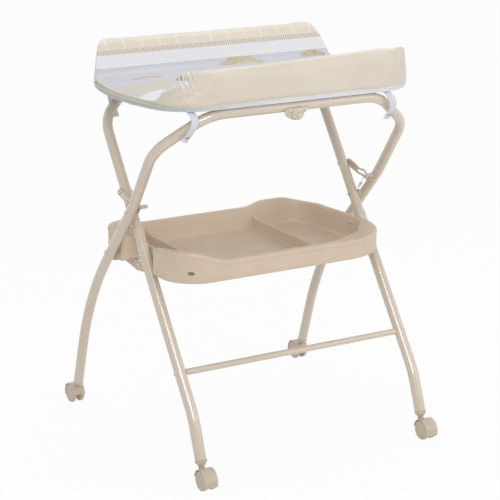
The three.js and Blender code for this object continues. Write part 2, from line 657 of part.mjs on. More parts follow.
// outline inset by d, counter-clockwise from the front right corner
function trayOutline(d) {
  const pts = [];
  const corner = (x, y, r, from, n) => {
    const [sx, sy] = [Math.sign(x), Math.sign(y)];
    for (let i = 0; i <= n; i += 1) {
      const a = rad(from + 90 * i / n);
      pts.push([x - sx * r + (r - d) * Math.cos(a), y - sy * r + (r - d) * Math.sin(a)]);
    }
  };
  const along = (from, to, n, point) => {
    for (let i = 0; i < n; i += 1) pts.push(point(from + (to - from) * i / (n - 1)));
  };
  const step = (y0, y1, x0, x1) => along(0, 1, 4, (v) => (
    [x0 + (x1 - x0) * ramp(v, 0, 1) + d, y0 + (y1 - y0) * v]));
  corner(trayX, -trayHalfY, cornerFR, -90, 9);
  along(cornerFR - trayHalfY + lipLead / 2, cornerFR - trayHalfY + lipLead, 2, (y) => [trayX - d, y]);
  corner(trayX, trayHalfY, cornerBR, 0, 7);
  along(trayX - cornerBR - 25, raiseFrom, 5, (x) => [x, trayHalfY - d]);
  along(-raiseTo, -raiseTo - 35, 3, (x) => [x, trayHalfY - d]);
  corner(-trayBackX, trayHalfY, cornerBL, 90, 6);
  along(trayHalfY - cornerBL - 20, notchBack + stepL + 10, 3, (y) => [d - trayBackX, y]);
  step(notchBack + stepL, notchBack, -trayBackX, -trayX);
  step(notchFront, notchFront - stepL * 1.2, -trayX, -trayFrontX);
  corner(-trayFrontX, -trayHalfY, cornerFL, 180, 8);
  along(-trayFrontX + cornerFL + 12, -raiseFrontTo, 3, (x) => [x, d - trayHalfY]);
  along(trayX - cornerFR - lipRun, trayX - cornerFR - 25, 3, (x) => [x, d - trayHalfY]);
  return pts;
}
// extra height of the rim at the front left and at both back corners
function rimRaise([x, y]) {
  const besideLeg = ramp(y, notchFront - stepL, notchFront + 10);
  const frontLeft = ramp(-x, raiseFrontTo, raiseFrontTo + 45) * (1 - besideLeg);
  const inward = (size, [a, b]) => [size - a, size - b];
  const fall = ramp(x, ...inward(trayX, raiseEnds));
  const backRight = ramp(x, raiseFrom, raiseFrom + 60) * (1 - fall)
    * ramp(y, ...inward(trayHalfY, raiseDepth));
  const backLeft = ramp(-x, raiseTo, raiseTo + 45) * ramp(y, ...inward(trayHalfY, raiseLeftDepth));
  return Math.max(raiseFrontH * frontLeft, raiseBackH * Math.max(backRight, backLeft));
}
// extra lip width at the front right and back left
function lipSpread([x, y]) {
  const frontRight = ramp(x, trayX - cornerFR - lipRun, trayX - cornerFR + lipRun)
    * ramp(-y, trayHalfY - cornerFR - lipLead, trayHalfY - cornerFR + lipRun);
  const backLeft = ramp(-x, trayBackX - lipBackEnds[0], trayBackX - lipBackEnds[1])
    * ramp(y, notchBack, notchBack + lipBackRun);
  return lipExtra * frontRight + lipBack * backLeft;
}
function trayShell() {
  // rings of the closed surface from the middle of the underside, out and down the skirt, over the
  // lip and down inside; [inset, height, share of the rim's raise, inside the lip]
  const foot = lipW - trayT + wallDraft;
  const [rim, floorTop] = [trayTopZ, trayFloorZ + trayT];
  const rings = [
    [foot + 5, trayFloorZ, 0, 1], [foot, trayFloorZ + 5, 0, 1], [lipW - trayT, rim - 2 * trayT, 1, 1],
    [trayT, rim - 2 * trayT, 1, 0], [trayT, skirtZ, 0, 0], [0, skirtZ, 0, 0], [0, rim - 9, 1, 0],
    [3, rim - 2.5, 1, 0], [8, rim, 1, 0], [lipW - 3, rim, 1, 1], [lipW, rim - 3, 1, 1],
    [foot + trayT, floorTop + 4, 0, 1], [foot + trayT + 4, floorTop, 0, 1],
  ];
  const base = trayOutline(0);
  const n = base.length;
  const verts = rings.flatMap(([d, z, raised, within]) => base.flatMap((p, i) => (
    [...trayOutline(d + within * lipSpread(p))[i], z + raised * rimRaise(p)])));
  const index = [];
  for (let r = 0; r < rings.length - 1; r += 1) {
    for (let i = 0; i < n; i += 1) {
      const [a, b] = [r * n + i, r * n + (i + 1) % n];
      index.push(a, b, b + n, a, b + n, a + n);
    }
  }
  const last = (rings.length - 1) * n;
  const ringAt = (from) => base.map((_, i) => (
    new THREE.Vector2(verts[3 * (from + i)], verts[3 * (from + i) + 1])));
  const cap = (from) => THREE.ShapeUtils.triangulateShape(ringAt(from), []);
  for (const [a, b, c] of cap(0)) index.push(a, c, b);
  for (const [a, b, c] of cap(last)) index.push(last + a, last + b, last + c);
  const g = new THREE.BufferGeometry();
  g.setAttribute('position', new THREE.BufferAttribute(new Float32Array(verts), 3));
  g.setIndex(index);
  return solid(g);
}
// a rounded rib across the tray, its sloping ends sunk into the front and back walls
function trayDivider(x) {
  const foot = trayFloorZ + trayT - 1;
  const share = (dividerTopZ - foot) / (trayTopZ - foot);
  const [low, high] = [trayHalfY - lipW - wallDraft, trayHalfY - lipW - wallDraft * (1 - share)];
  const top = dividerTopZ;
  const side = [[-low, foot], [low, foot], [high + 1, top], [-high - 1, top]];
  const half = dividerT / 2;
  const across = [
    [-half, foot], [half, foot], [half, top - 4], [half - 2, top - 1], [0, top], [2 - half, top - 1],
    [-half, top - 4],
  ];
  const prism = (section, depth, axes, at) => {
    const shape = new THREE.Shape(section.map(([a, b]) => new THREE.Vector2(a, b)));
    const matrix = new THREE.Matrix4().makeBasis(...axes).setPosition(at);
    return solid(placed(new THREE.ExtrudeGeometry(shape, { depth, bevelEnabled: false }), matrix));
  };
  const alongX = prism(side, 2 * dividerT, [V(0, 1, 0), V(0, 0, 1), V(1, 0, 0)], V(x - dividerT, 0, 0));
  const alongY = prism(across, 2 * trayHalfY, [V(-1, 0, 0), V(0, 0, 1), V(0, 1, 0)], V(x, -trayHalfY, 0));
  return alongX.intersect(alongY);
}
const bossIn = trayX - lipW - wallDraft;         // inner end of the boss that takes a tray bolt
{
  let tray = trayShell();
  for (const x of dividerX) tray = tray.add(trayDivider(x));
  const boltY = frontY(trayBoltZ) - trayY;
  for (const s of [-1, 1]) {
    const [inner, outer] = [s * (bossIn + 4), s * (frontX - legR - FIT)];
    tray = tray.add(rodX(trayBossR, inner, outer, boltY, trayBoltZ, 16))
      .subtract(rodX(boltHole, s * (bossIn - holeReach), s * frontX, boltY, trayBoltZ));
  }
  part('storage_tray', solid(toGeometry(tray).translate(0, trayY, 0)), 'plastic');
}
for (const [side, s] of sides) {
  const legFace = frontX + legFlat + FIT;
  part(`tray_bolt_${side}`, bolt(s, bossIn - FIT, legFace, frontY(trayBoltZ), trayBoltZ), 'steel');
  const [y, z] = [rearY(hookPinZ), hookPinZ];
  const reach = (s < 0 ? trayBackX : trayX) + collarGap;
  const collar = rodX(collarR, s * reach, s * (gapOut - FIT), y, z, 16);
  const pin = bolt(s, gapOut - 1, rearX + tubeFlat + FIT, y, z, false);
  part(`tray_hook_pin_${side}`, pin.add(collar), 'steel');
}

// ---- catch under the front top bar, and clips under the board ------------------------------
{
  const back = catchFaceY;
  const front = back - catchT;
  const knobAt = [catchX + catchKnobX, barZ - catchKnobDrop];
  const drilled = [...catchScrewX.map((x) => [catchX + x, barZ]), knobAt];
  const holes = drilled.map(([x, z]) => rodY(screwR + boreGap, back + 1, front - 1, x, z));
  const middle = V(catchX, (back + front) / 2, barZ + catchAbove - catchH / 2);
  part('catch_plate', box(catchW, catchT, catchH, middle).subtract(union(holes)), 'paint');
  catchScrewX.forEach((x, i) => {
    const head = rodY(screwHeadR, front - FIT - screwHeadT, front - FIT, catchX + x, barZ);
    const shank = rodY(screwR, front - 1, back + catchScrewL, catchX + x, barZ);
    part(`catch_screw_${sides[i][0]}`, head.add(shank), 'steel');
  });
  const knob = rodY(knobR, front - FIT - knobH, front - FIT, ...knobAt, 20)
    .add(rodY(screwR, front - 1, back + FIT + 1, ...knobAt))
    .add(rodY(screwHeadR, back + FIT, back + FIT + screwHeadT, ...knobAt));
  part('catch_knob', knob, 'plastic');
}
for (const [side, s] of sides) {
  const z = boardZ - FIT;
  const y = boardY + clipShift;
  const lipX = matHalfX - clipInset + clipW / 2 - clipT / 2;
  const leaf = box(clipW, clipL, clipT, V(s * (matHalfX - clipInset), y, z - clipT / 2));
  const lip = box(clipT, clipL, clipDrop, V(s * lipX, y, z - clipDrop / 2));
  part(`board_clip_${side}`, leaf.add(lip), 'paint');
}

// ---- group -------------------------------------------------------------------------------
const group = new THREE.Group();
for (const [name, { body, material }] of parts) {
  const mesh = new THREE.Mesh(toGeometry(body), material);
  mesh.name = name;
  group.add(mesh);
}
export default group;
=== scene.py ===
# %% [markdown]
# # A folding changing table
#
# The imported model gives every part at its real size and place. This lesson builds the looks around
# it: painted tube, moulded plastic, zinc-plated steel, webbing and a padded, cloth-covered mat.
# Lengths are metres. X runs along the table, Y to the back and Z up from the floor.

# %% Load the frame
import math
from itertools import product
from math import cos, radians, sin, tau

import bmesh
import bpy
import json
import numpy as np
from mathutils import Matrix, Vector, noise


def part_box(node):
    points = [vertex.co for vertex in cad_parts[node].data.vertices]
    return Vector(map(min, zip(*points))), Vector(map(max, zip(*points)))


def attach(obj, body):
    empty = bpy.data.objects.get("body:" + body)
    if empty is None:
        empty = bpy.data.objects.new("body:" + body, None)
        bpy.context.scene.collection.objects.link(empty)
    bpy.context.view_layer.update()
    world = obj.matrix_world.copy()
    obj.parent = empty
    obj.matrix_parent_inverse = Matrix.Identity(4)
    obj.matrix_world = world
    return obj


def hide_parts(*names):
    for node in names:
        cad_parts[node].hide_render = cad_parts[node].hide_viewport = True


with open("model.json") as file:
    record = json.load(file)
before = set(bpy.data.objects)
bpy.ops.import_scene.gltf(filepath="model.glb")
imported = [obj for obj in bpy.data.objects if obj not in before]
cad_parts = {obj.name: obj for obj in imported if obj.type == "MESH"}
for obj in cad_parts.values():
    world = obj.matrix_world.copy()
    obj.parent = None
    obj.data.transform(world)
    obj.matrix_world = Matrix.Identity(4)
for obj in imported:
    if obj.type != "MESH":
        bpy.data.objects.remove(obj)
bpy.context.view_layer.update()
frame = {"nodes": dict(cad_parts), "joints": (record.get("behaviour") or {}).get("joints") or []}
nodes = frame["nodes"]
joints = {j["name"]: j for j in frame["joints"]}
scene = bpy.context.scene
mm = 0.001
SIDES = {"left": -1, "right": 1}
ENDS = ("front", "rear")

# %% [markdown]
# ## Camera and light
#
# The camera stands in front of the table's left end, a little above the mat, with a long lens, so
# that the legs stay nearly parallel. Three large soft lamps and a pale world light it like a
# studio, and a lamp that only shows as a reflection draws the bright line down each glossy tube.

# %% Camera
CAMERA_PLACE = Vector((-2.0284, -3.5469, 1.6472))
CAMERA_HEADING = 29.728          # degrees from +Y towards +X
CAMERA_DIP = 16.14               # degrees below level
CAMERA_LENS = 118.43             # in mm, for a sensor 36 mm wide
lens_camera = bpy.data.cameras.new("camera")
lens_camera.sensor_width = 36
lens_camera.lens = CAMERA_LENS
camera = bpy.data.objects.new("camera", lens_camera)
camera.location = CAMERA_PLACE
camera.rotation_euler = (radians(90 - CAMERA_DIP), 0, radians(-CAMERA_HEADING))
scene.collection.objects.link(camera)
scene.camera = camera


# %% Lamps
def softbox(name, place, aim, size, watts):
    """A square area lamp that points at aim."""
    lamp = bpy.data.lights.new(name, "AREA")
    lamp.size = size
    lamp.energy = watts
    holder = bpy.data.objects.new(name, lamp)
    holder.location = place
    holder.rotation_euler = (Vector(aim) - Vector(place)).to_track_quat("-Z", "Y").to_euler()
    scene.collection.objects.link(holder)
    return holder


softbox("key_lamp", (-1.5, -2.9, 2.3), (0, 0, 0.5), 1.4, 25)
shine = softbox("shine_lamp", (-1.15, -2.85, 2.4), (0, 0, 0.5), 1.5, 50)
shine.visible_diffuse = False        # seen only as a reflection, so colours stay as written
softbox("fill_lamp", (2.4, -2.6, 1.5), (0, 0, 0.5), 2.0, 18)
softbox("top_lamp", (0.2, 0.4, 3.2), (0, 0, 0.6), 1.8, 20)

# %% [markdown]
# ## Finishes
#
# Each material is a small program of nodes. A wrapped socket lets the shader maths be written as
# plain expressions, and one method makes any other node.


# %% Shader arithmetic
def plug(tree, socket, value):
    """Links a wire to a socket, or writes a plain value there."""
    if isinstance(value, Wire):
        tree.links.new(value.output, socket)
    else:
        socket.default_value = value


def operator(operation, flipped=False):
    return lambda wire, other: wire.math(operation, other, flipped)


class Wire:
    """One output in a node tree, which can be added, multiplied and compared like a number."""

    def __init__(self, tree, output):
        self.tree = tree
        self.output = output

    def math(self, operation, other=None, flipped=False):
        node = self.tree.nodes.new("ShaderNodeMath")
        node.operation = operation
        values = [self] if other is None else [self, other]
        for socket, value in zip(node.inputs, reversed(values) if flipped else values):
            plug(self.tree, socket, value)
        return Wire(self.tree, node.outputs[0])

    __add__ = __radd__ = operator("ADD")
    __sub__, __rsub__ = operator("SUBTRACT"), operator("SUBTRACT", flipped=True)
    __mul__ = __rmul__ = operator("MULTIPLY")
    __truediv__ = operator("DIVIDE")
    __gt__, __lt__ = operator("GREATER_THAN"), operator("LESS_THAN")


class Finish:
    """A material with a Principled shader and short ways to add nodes to it."""

    def __init__(self, name, colour, roughness, **settings):
        self.material = bpy.data.materials.new(name)
        self.material.use_nodes = True
        self.tree = self.material.node_tree
        self.shader = self.tree.nodes["Principled BSDF"]
        settings |= {"Base_Color": (*colour, 1), "Roughness": roughness}
        for socket, value in settings.items():
            self.shader.inputs[socket.replace("_", " ")].default_value = value

    def node(self, kind, settings=None, inputs=None, output=0):
        """Makes a node: its settings first, then the values or links of its sockets."""
        made = self.tree.nodes.new(kind)
        for name, value in (settings or {}).items():
            setattr(made, name, value)
        for name, value in (inputs or {}).items():
            plug(self.tree, made.inputs[name], value)
        return Wire(self.tree, made.outputs[output])

    def place(self):
        """The point on the piece, in the frame's own coordinates."""
        return self.node("ShaderNodeTexCoord", output="Object")

    def axes(self):
        split = self.node("ShaderNodeSeparateXYZ", inputs={"Vector": self.place()})
        return [Wire(self.tree, out) for out in split.output.node.outputs]

    def noise(self, scale, detail=2.0):
        return self.node("ShaderNodeTexNoise", inputs={
            "Vector": self.place(), "Scale": scale, "Detail": detail})

    def mix(self, share, below, above):
        """A colour between two, by a share from 0 to 1."""
        below, above = (c if isinstance(c, Wire) else (*c, 1) for c in (below, above))
        return self.node("ShaderNodeMix", {"data_type": "RGBA"},
                         {0: share, 6: below, 7: above}, output=2)

    def step(self, value, low, high):
        """0 below low, 1 above high, smooth between."""
        return self.node("ShaderNodeMapRange", {"interpolation_type": "SMOOTHSTEP"}, {
            "Value": value, "From Min": low, "From Max": high})

    def mottled(self, below, above, scale, low, high, detail=2.0):
        """Two colours in soft patches."""
        return self.mix(self.step(self.noise(scale, detail), low, high), below, above)

    def feed(self, socket, value):
        self.tree.links.new(value.output, self.shader.inputs[socket])

    def roughen(self, scale, spread, roughness):
        """Lets the roughness drift to both sides of its middle."""
        self.feed("Roughness", self.noise(scale) * spread + (roughness - spread / 2))

    def bump(self, height, strength, distance):
        made = self.node("ShaderNodeBump", inputs={
            "Height": height, "Strength": strength, "Distance": distance})
        self.feed("Normal", made)


def tint(red, green, blue):
    """A screen colour, 0 to 255, as the linear values that a shader takes."""
    shares = [c / 255 for c in (red, green, blue)]
    return tuple(c / 12.92 if c <= 0.04045 else ((c + 0.055) / 1.055) ** 2.4 for c in shares)


# %% [markdown]
# ### Painted tube
#
# The frame is steel tube with a glossy beige powder coat. Powder flows out to a faint orange peel,
# which breaks up the long highlight a little, and its tone drifts slightly from tube to tube.


# %% Painted tube
def powder_coat(name, colour, darker, roughness):
    finish = Finish(name, colour, roughness, Coat_Weight=0.8, Coat_Roughness=0.07)
    finish.feed("Base Color", finish.mottled(darker, colour, 3.0, 0.2, 0.8, detail=1.0))
    finish.bump(finish.noise(260.0), 0.04, 0.0004)
    finish.roughen(20.0, 0.08, roughness)
    return finish.material


paint = powder_coat("beige_powder_coat", tint(223, 209, 192), tint(219, 204, 187), 0.26)
plate_paint = powder_coat("beige_plate_coat", tint(219, 205, 188), tint(215, 200, 183), 0.34)

# %% [markdown]
# ### Moulded plastic
#
# The tray and the casters are moulded in beige plastic. The mould leaves a fine grain on the tray
# and a smoother, shinier skin on the casters.


# %% Moulded plastic
def moulded(name, colour, deeper, roughness, grain):
    finish = Finish(name, colour, roughness, Specular_IOR_Level=0.45)
    finish.feed("Base Color", finish.mottled(deeper, colour, 9.0, 0.25, 0.75))
    finish.bump(finish.noise(900.0), grain, 0.0003)
    finish.roughen(60.0, 0.12, roughness)
    return finish.material


tray_plastic = moulded("tray_plastic", tint(224, 206, 185), tint(219, 200, 178), 0.42, 0.25)
caster_plastic = moulded("caster_plastic", tint(214, 200, 183), tint(206, 191, 173), 0.30, 0.10)
knob_plastic = moulded("knob_plastic", tint(228, 214, 194), tint(222, 207, 186), 0.28, 0.10)

# %% [markdown]
# ### Steel fittings
#
# Bolts, pins and springs are zinc plated, a pale grey with small cloudy patches.


# %% Steel fittings
def zinc(name, colour, darker, roughness):
    finish = Finish(name, colour, roughness, Metallic=0.85)
    patches = finish.step(finish.noise(260.0, 3.0), 0.4, 0.6)
    finish.feed("Base Color", finish.mix(patches, darker, colour))
    finish.feed("Roughness", patches * 0.12 + roughness)
    return finish.material


bolt_zinc = zinc("bolt_zinc", tint(208, 208, 208), tint(182, 183, 186), 0.36)
spring_zinc = zinc("spring_zinc", tint(186, 188, 192), tint(150, 152, 158), 0.32)
stud_metal = zinc("stud_metal", tint(196, 192, 178), tint(172, 168, 152), 0.36)

# %% [markdown]
# ### Webbing and board
#
# The straps are woven tape: fine ribs across the length. The board is a pale sheet of plastic-faced
# fibre; its left end is painted duller and a little green as shade.


# %% Webbing and board
def woven_tape():
    finish = Finish("woven_tape", tint(236, 238, 246), 0.62, Sheen_Weight=0.25)
    x, y, z = finish.axes()
    weft = ((y * 0.6 - z) * (tau / (0.9 * mm))).math("SINE")
    warp = (x * (tau / (1.3 * mm))).math("SINE")
    finish.bump(weft * 0.7 + warp * 0.3, 0.35, 0.0003)
    finish.feed("Base Color", finish.mottled(tint(224, 227, 238), tint(238, 240, 247),
                                             700.0, 0.3, 0.7))
    return finish.material


def board_sheet():
    """Bright white along the table, with painted shade, duller and a little green, towards the left
    end.
    """
    finish = Finish("board_sheet", tint(226, 230, 228), 0.45)
    x, y, z = finish.axes()
    # painted shade: the colour dulls towards the left end, where the board faces away from the lamps
    towards_right = finish.step(x + finish.noise(9.0) * (90 * mm), -330 * mm, 40 * mm)
    fleck = finish.step(finish.noise(140.0, 4.0), 0.35, 0.65)
    shaded_left_end = finish.mix(fleck, tint(196, 203, 199), tint(204, 210, 208))
    bright = finish.mix(fleck, tint(227, 230, 238), tint(233, 236, 243))
    finish.feed("Base Color", finish.mix(towards_right, shaded_left_end, bright))
    finish.bump(finish.noise(600.0), 0.10, 0.0002)
    return finish.material


tape = woven_tape()
board_finish = board_sheet()

# %% [markdown]
# ### Cover cloth
#
# The mat's cover is a smooth coated cloth with a satin sheen, printed before it is sewn. The print
# runs in bands along the table: lavender in the trough, a white band, a row of small strokes like
# a ruler, and beige scallops over the raised side. A few soft clouds lie on the lavender. Each band
# is a mask worked out from the point's own place, so that the print is fixed to the cloth.

# %% Cover print
board_low, board_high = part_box("changing_board")
mat_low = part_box("changing_mat")[0]
board_y = (board_low.y + board_high.y) / 2
MAT_HALF = (378 * mm, 245 * mm)
MAT_BOW = 50 * mm
MAT_CORNER = 75 * mm
WHITE_FROM, STROKES_FROM, SCALLOPS_FROM = 938 * mm, 968 * mm, 979 * mm     # heights of the bands
STROKE_PITCH, SCALLOP_PITCH = 6.3 * mm, 50 * mm


def cover_print():
    finish = Finish("printed_cover_cloth", tint(226, 217, 203), 0.40, Coat_Weight=0.12,
                    Coat_Roughness=0.35, Sheen_Weight=0.08)
    x, y, z = finish.axes()
    depth = y - board_y
    across_both = depth.math("ABSOLUTE")

    beige = finish.mottled(tint(226, 216, 200), tint(230, 221, 206), 5.0, 0.3, 0.7)
    white, lavender = tint(231, 232, 236), tint(203, 204, 213)

    def edge(value):
        return finish.step(value, -0.4 * mm, 0.4 * mm)

    # the trough: lavender, a beige hill along the middle, white towards the near side
    off_middle = x.math("ABSOLUTE") / MAT_HALF[0]
    hill = 60 * mm - off_middle.math("POWER", 2.6) * (62 * mm)
    ground = finish.mix(edge(hill - depth), lavender, tint(207, 201, 190))
    foot = -52 * mm - off_middle.math("POWER", 4.0) * (54 * mm)
    ground = finish.mix(edge(foot - depth), ground, white)

    # clouds of overlapping discs: middle x, middle depth, half width, half depth
    clouds = [
        (-262, 92, 22, 11), (-240, 101, 17, 14), (-219, 92, 20, 10), (22, 161, 26, 9),
        (52, 168, 24, 13), (84, 164, 30, 11), (112, 159, 22, 7), (266, 166, 20, 7),
        (288, 171, 17, 10), (308, 166, 18, 6),
    ]
    puff = None
    for middle, across, wide, deep in clouds:
        over = (x - middle * mm) / (wide * mm)
        up = (depth - across * mm) / (deep * mm)
        disc = (over * over + up * up) < 1.0
        puff = disc if puff is None else puff.math("MAXIMUM", disc)
    puff_tone = finish.mottled(tint(186, 170, 140), tint(203, 189, 162), 38.0, 0.35, 0.65)
    ground = finish.mix(puff, ground, puff_tone)

    # up both slopes: white band, strokes, scallops
    slope = finish.mix(edge(z - WHITE_FROM), ground, white)
    stroke = ((x / STROKE_PITCH).math("FRACT") < 0.36) * (z > STROKES_FROM) * (z < SCALLOPS_FROM)
    strokes = finish.mix(stroke, tint(226, 220, 210), tint(184, 164, 144))
    slope = finish.mix(z > STROKES_FROM, slope, strokes)
    along = ((x / SCALLOP_PITCH).math("FRACT") * 2.0 - 1.0).math("ABSOLUTE")
    rise = ((across_both - 208.9 * mm) / (21.5 * mm)).math("MAXIMUM", 0.0)
    arch = along.math("POWER", 3.0) + rise.math("POWER", 3.0)
    crown = finish.mix((arch > 0.86) * (arch < 1.05), beige, tint(238, 237, 235))
    cover = finish.mix(z > SCALLOPS_FROM, slope, crown)

    # the side wall all round is plain beige, and so is the near side's top
    bowed = depth / MAT_HALF[1]
    past = ((across_both - (MAT_HALF[1] - MAT_CORNER)) / MAT_CORNER)
    past = past.math("MAXIMUM", 0.0).math("MINIMUM", 1.0)
    rounding = (1 - (1 - past * past).math("MAXIMUM", 0.0).math("SQRT")) * MAT_CORNER
    end_x = MAT_HALF[0] - bowed * bowed * MAT_BOW - rounding
    wall = (x.math("ABSOLUTE") - end_x) > (-9 * mm)
    wall = wall.math("MAXIMUM", across_both > (MAT_HALF[1] - 7 * mm))
    wall = wall.math("MAXIMUM", (depth < (-228 * mm)))
    finish.feed("Base Color", finish.mix(wall, cover, beige))
    finish.bump(finish.noise(1500.0, 1.0) * 0.5 + finish.noise(210.0) * 0.5, 0.10, 0.0006)
    finish.roughen(24.0, 0.12, 0.42)
    return finish.material


cover_cloth = cover_print()
print("cover print: nodes", len(cover_cloth.node_tree.nodes))

# %% [markdown]
# ## Floor and backdrop
#
# The floor is a large white sheet. To every ray that a lens or a gloss sees, most of its white is
# its own, so that the background stays clean, and the rest is lit, so that shadows still show. The
# world lights softly from all round and looks white.


# %% Floor and backdrop
def white_share(tree, lit, end, share):
    """Mixes a plain white glow into what rays from the lens, in gloss and through glass meet."""
    path = tree.nodes.new("ShaderNodeLightPath")
    lens, gloss, glass = (Wire(tree, path.outputs[f"Is {kind} Ray"])
                          for kind in ("Camera", "Glossy", "Transmission"))
    seen = lens.math("MAXIMUM", gloss).math("MAXIMUM", glass) * share
    white = tree.nodes.new("ShaderNodeEmission" if end.type == "OUTPUT_MATERIAL" else
                           "ShaderNodeBackground")
    white.inputs["Strength"].default_value = 1.0
    white.inputs["Color"].default_value = (1, 1, 1, 1)
    blend = tree.nodes.new("ShaderNodeMixShader")
    for socket, output in zip(blend.inputs, (seen.output, lit.outputs[0], white.outputs[0])):
        tree.links.new(output, socket)
    tree.links.new(blend.outputs[0], end.inputs["Surface"])


studio = bpy.data.worlds.new("studio")
scene.world = studio
studio.use_nodes = True
ambient = studio.node_tree.nodes["Background"]
ambient.inputs["Color"].default_value = (1.0, 0.985, 0.965, 1)
ambient.inputs["Strength"].default_value = 0.55
white_share(studio.node_tree, ambient, studio.node_tree.nodes["World Output"], 1.0)

bpy.ops.mesh.primitive_plane_add(size=40)
floor = bpy.context.object
floor.name = "floor"
floor_paper = Finish("floor_paper", (0.86, 0.86, 0.86), 0.9)
floor.data.materials.append(floor_paper.material)
white_share(floor_paper.tree, floor_paper.shader, floor_paper.tree.nodes["Material Output"], 0.94)
scene.view_settings.view_transform = "Standard"

# %% [markdown]
# ## Modelling helpers
#
# Every new piece starts as a circle of edges. Extruding that circle along a line makes a tube, and
# spinning it round a centre makes the bend. Extruding it in place and moving the new points to the
# next outline makes any turned or moulded shape. Small helpers name these moves.


# %% Selecting and settling
def deselect():
    if bpy.context.object and bpy.context.object.mode != "OBJECT":
        bpy.ops.object.mode_set(mode="OBJECT")
    bpy.ops.object.select_all(action="DESELECT")


def take(piece):
    """Makes the piece the only selected and the active object."""
    deselect()
    piece.select_set(True)
    bpy.context.view_layer.objects.active = piece


def edit(piece):
    take(piece)
    bpy.ops.object.mode_set(mode="EDIT")
    bpy.ops.mesh.select_all(action="SELECT")


def pick(piece, kind, wanted):
    """In edit mode, selects the vertices, edges or faces that wanted says yes to."""
    bpy.ops.mesh.select_mode(type=kind)
    bpy.ops.mesh.select_all(action="DESELECT")
    shape = bmesh.from_edit_mesh(piece.data)
    for item in {"VERT": shape.verts, "EDGE": shape.edges, "FACE": shape.faces}[kind]:
        if wanted(item):
            item.select_set(True)
    bmesh.update_edit_mesh(piece.data)


def settle(piece):
    """Puts the object's place, turn and size into its mesh."""
    take(piece)
    bpy.ops.object.transform_apply(location=True, rotation=True, scale=True)


def close_ends(piece, rim=0.0):
    """Fills the open ends, rounds their rims, and points all faces outwards."""
    edit(piece)
    bpy.ops.mesh.select_mode(type="EDGE")
    bpy.ops.mesh.fill_holes(sides=0)
    if rim:
        pick(piece, "EDGE", lambda e: any(len(f.verts) > 8 for f in e.link_faces))
        bpy.ops.mesh.bevel(offset=rim, segments=3)
    bpy.ops.mesh.select_all(action="SELECT")
    bpy.ops.mesh.normals_make_consistent(inside=False)
    deselect()


def hand_over(piece, name, material, body, slot, *replaced, smooth=38):
    """Names, paints and shades a settled piece, ties it to its body and hides the CAD nodes that it
    replaces.
    """
    piece.name = piece.data.name = name
    piece.data.materials.clear()
    piece.data.materials.append(material)
    take(piece)
    bpy.ops.object.shade_smooth_by_angle(angle=radians(smooth))
    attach(piece, body)
    if replaced:
        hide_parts(*replaced)
    deselect()
    return piece


def circle_of_edges(sides, radius, place=(0, 0, 0), heading=(0, 0, 1)):
    """A circle across a heading, left in edit mode with all of it selected."""
    deselect()
    turn = Vector(heading).to_track_quat("Z", "Y").to_euler()
    bpy.ops.mesh.primitive_circle_add(vertices=sides, radius=radius, location=place, rotation=turn)
    piece = bpy.context.object
    edit(piece)
    bpy.ops.mesh.select_mode(type="EDGE")
    bpy.ops.mesh.select_all(action="SELECT")
    return piece


# %% Bent tubes, turned shapes and lofts
SIDES_OF_TUBE = 28


def bent_tube(corners, radii, radius, degrees=4.5, rim=0.0):
    """Extrudes a circle along each straight run and spins it round each bend."""
    corners = [Vector(c) for c in corners]
    heading = (corners[1] - corners[0]).normalized()
    piece = circle_of_edges(SIDES_OF_TUBE, radius, corners[0], heading)
    here = corners[0]
    for corner, onward, bend in zip(corners[1:], corners[2:], radii):
        after = (onward - corner).normalized()
        turn = heading.angle(after)
        tangent = bend * math.tan(turn / 2)
        start = corner - heading * tangent
        bpy.ops.mesh.extrude_edges_move(TRANSFORM_OT_translate={"value": start - here})
        axis = heading.cross(after).normalized()
        steps = max(2, math.ceil(math.degrees(turn) / degrees))
        bpy.ops.mesh.spin(steps=steps, angle=-turn, axis=axis,
                          center=start + axis.cross(heading) * bend)
        heading = after
        here = corner + after * tangent
    bpy.ops.mesh.extrude_edges_move(TRANSFORM_OT_translate={"value": corners[-1] - here})
    bpy.ops.mesh.select_all(action="SELECT")
    bpy.ops.mesh.remove_doubles(threshold=0.00001)
    close_ends(piece, rim)
    settle(piece)
    return piece


def turned(profile, place=(0, 0, 0), heading=(0, 0, 1), sides=SIDES_OF_TUBE, ring=False):
    """Extrudes a circle through radii and heights in mm; ring closes the last on the first."""
    place, heading = Vector(place), Vector(heading).normalized()
    radius, height = profile[0]
    piece = circle_of_edges(sides, radius * mm, place + heading * height * mm, heading)
    for (last, low), (radius, high) in zip(profile, profile[1:]):
        here = place + heading * high * mm
        onward = heading * (high - low) * mm
        bpy.ops.mesh.extrude_edges_move(TRANSFORM_OT_translate={"value": onward})
        bpy.ops.transform.resize(value=(radius / last,) * 3, center_override=here)
    if ring:
        pick(piece, "EDGE", lambda e: e.is_boundary)
        bpy.ops.mesh.bridge_edge_loops()
    close_ends(piece)
    settle(piece)
    return piece


def loft(rings):
    """Extrudes a ring of edges in place and moves its points to each next ring in turn."""
    piece = circle_of_edges(len(rings[0]), 1)
    piece.rotation_euler = (0, 0, 0)
    shape = bmesh.from_edit_mesh(piece.data)
    order = shape.verts.layers.int.new("order")
    for vertex in shape.verts:
        vertex[order] = vertex.index
    for count, ring in enumerate(rings):
        if count:
            bpy.ops.mesh.extrude_edges_move()
        shape = bmesh.from_edit_mesh(piece.data)
        order = shape.verts.layers.int["order"]
        for vertex in shape.verts:
            if vertex.select:
                vertex.co = ring[vertex[order]]
        bmesh.update_edit_mesh(piece.data)
    close_ends(piece)
    piece.data.attributes.remove(piece.data.attributes["order"])
    return piece


# %% Copies and softened edges
def copy_of(piece, merge=False):
    """A copy with its own mesh; a copy of a CAD node has its loose triangles merged."""
    twin = bpy.data.objects.new(piece.name + "_copy", piece.data.copy())
    scene.collection.objects.link(twin)
    if merge:
        edit(twin)
        bpy.ops.mesh.remove_doubles(threshold=0.00002)
        bpy.ops.mesh.tris_convert_to_quads(face_threshold=0.02, shape_threshold=0.02)
        deselect()
    return twin


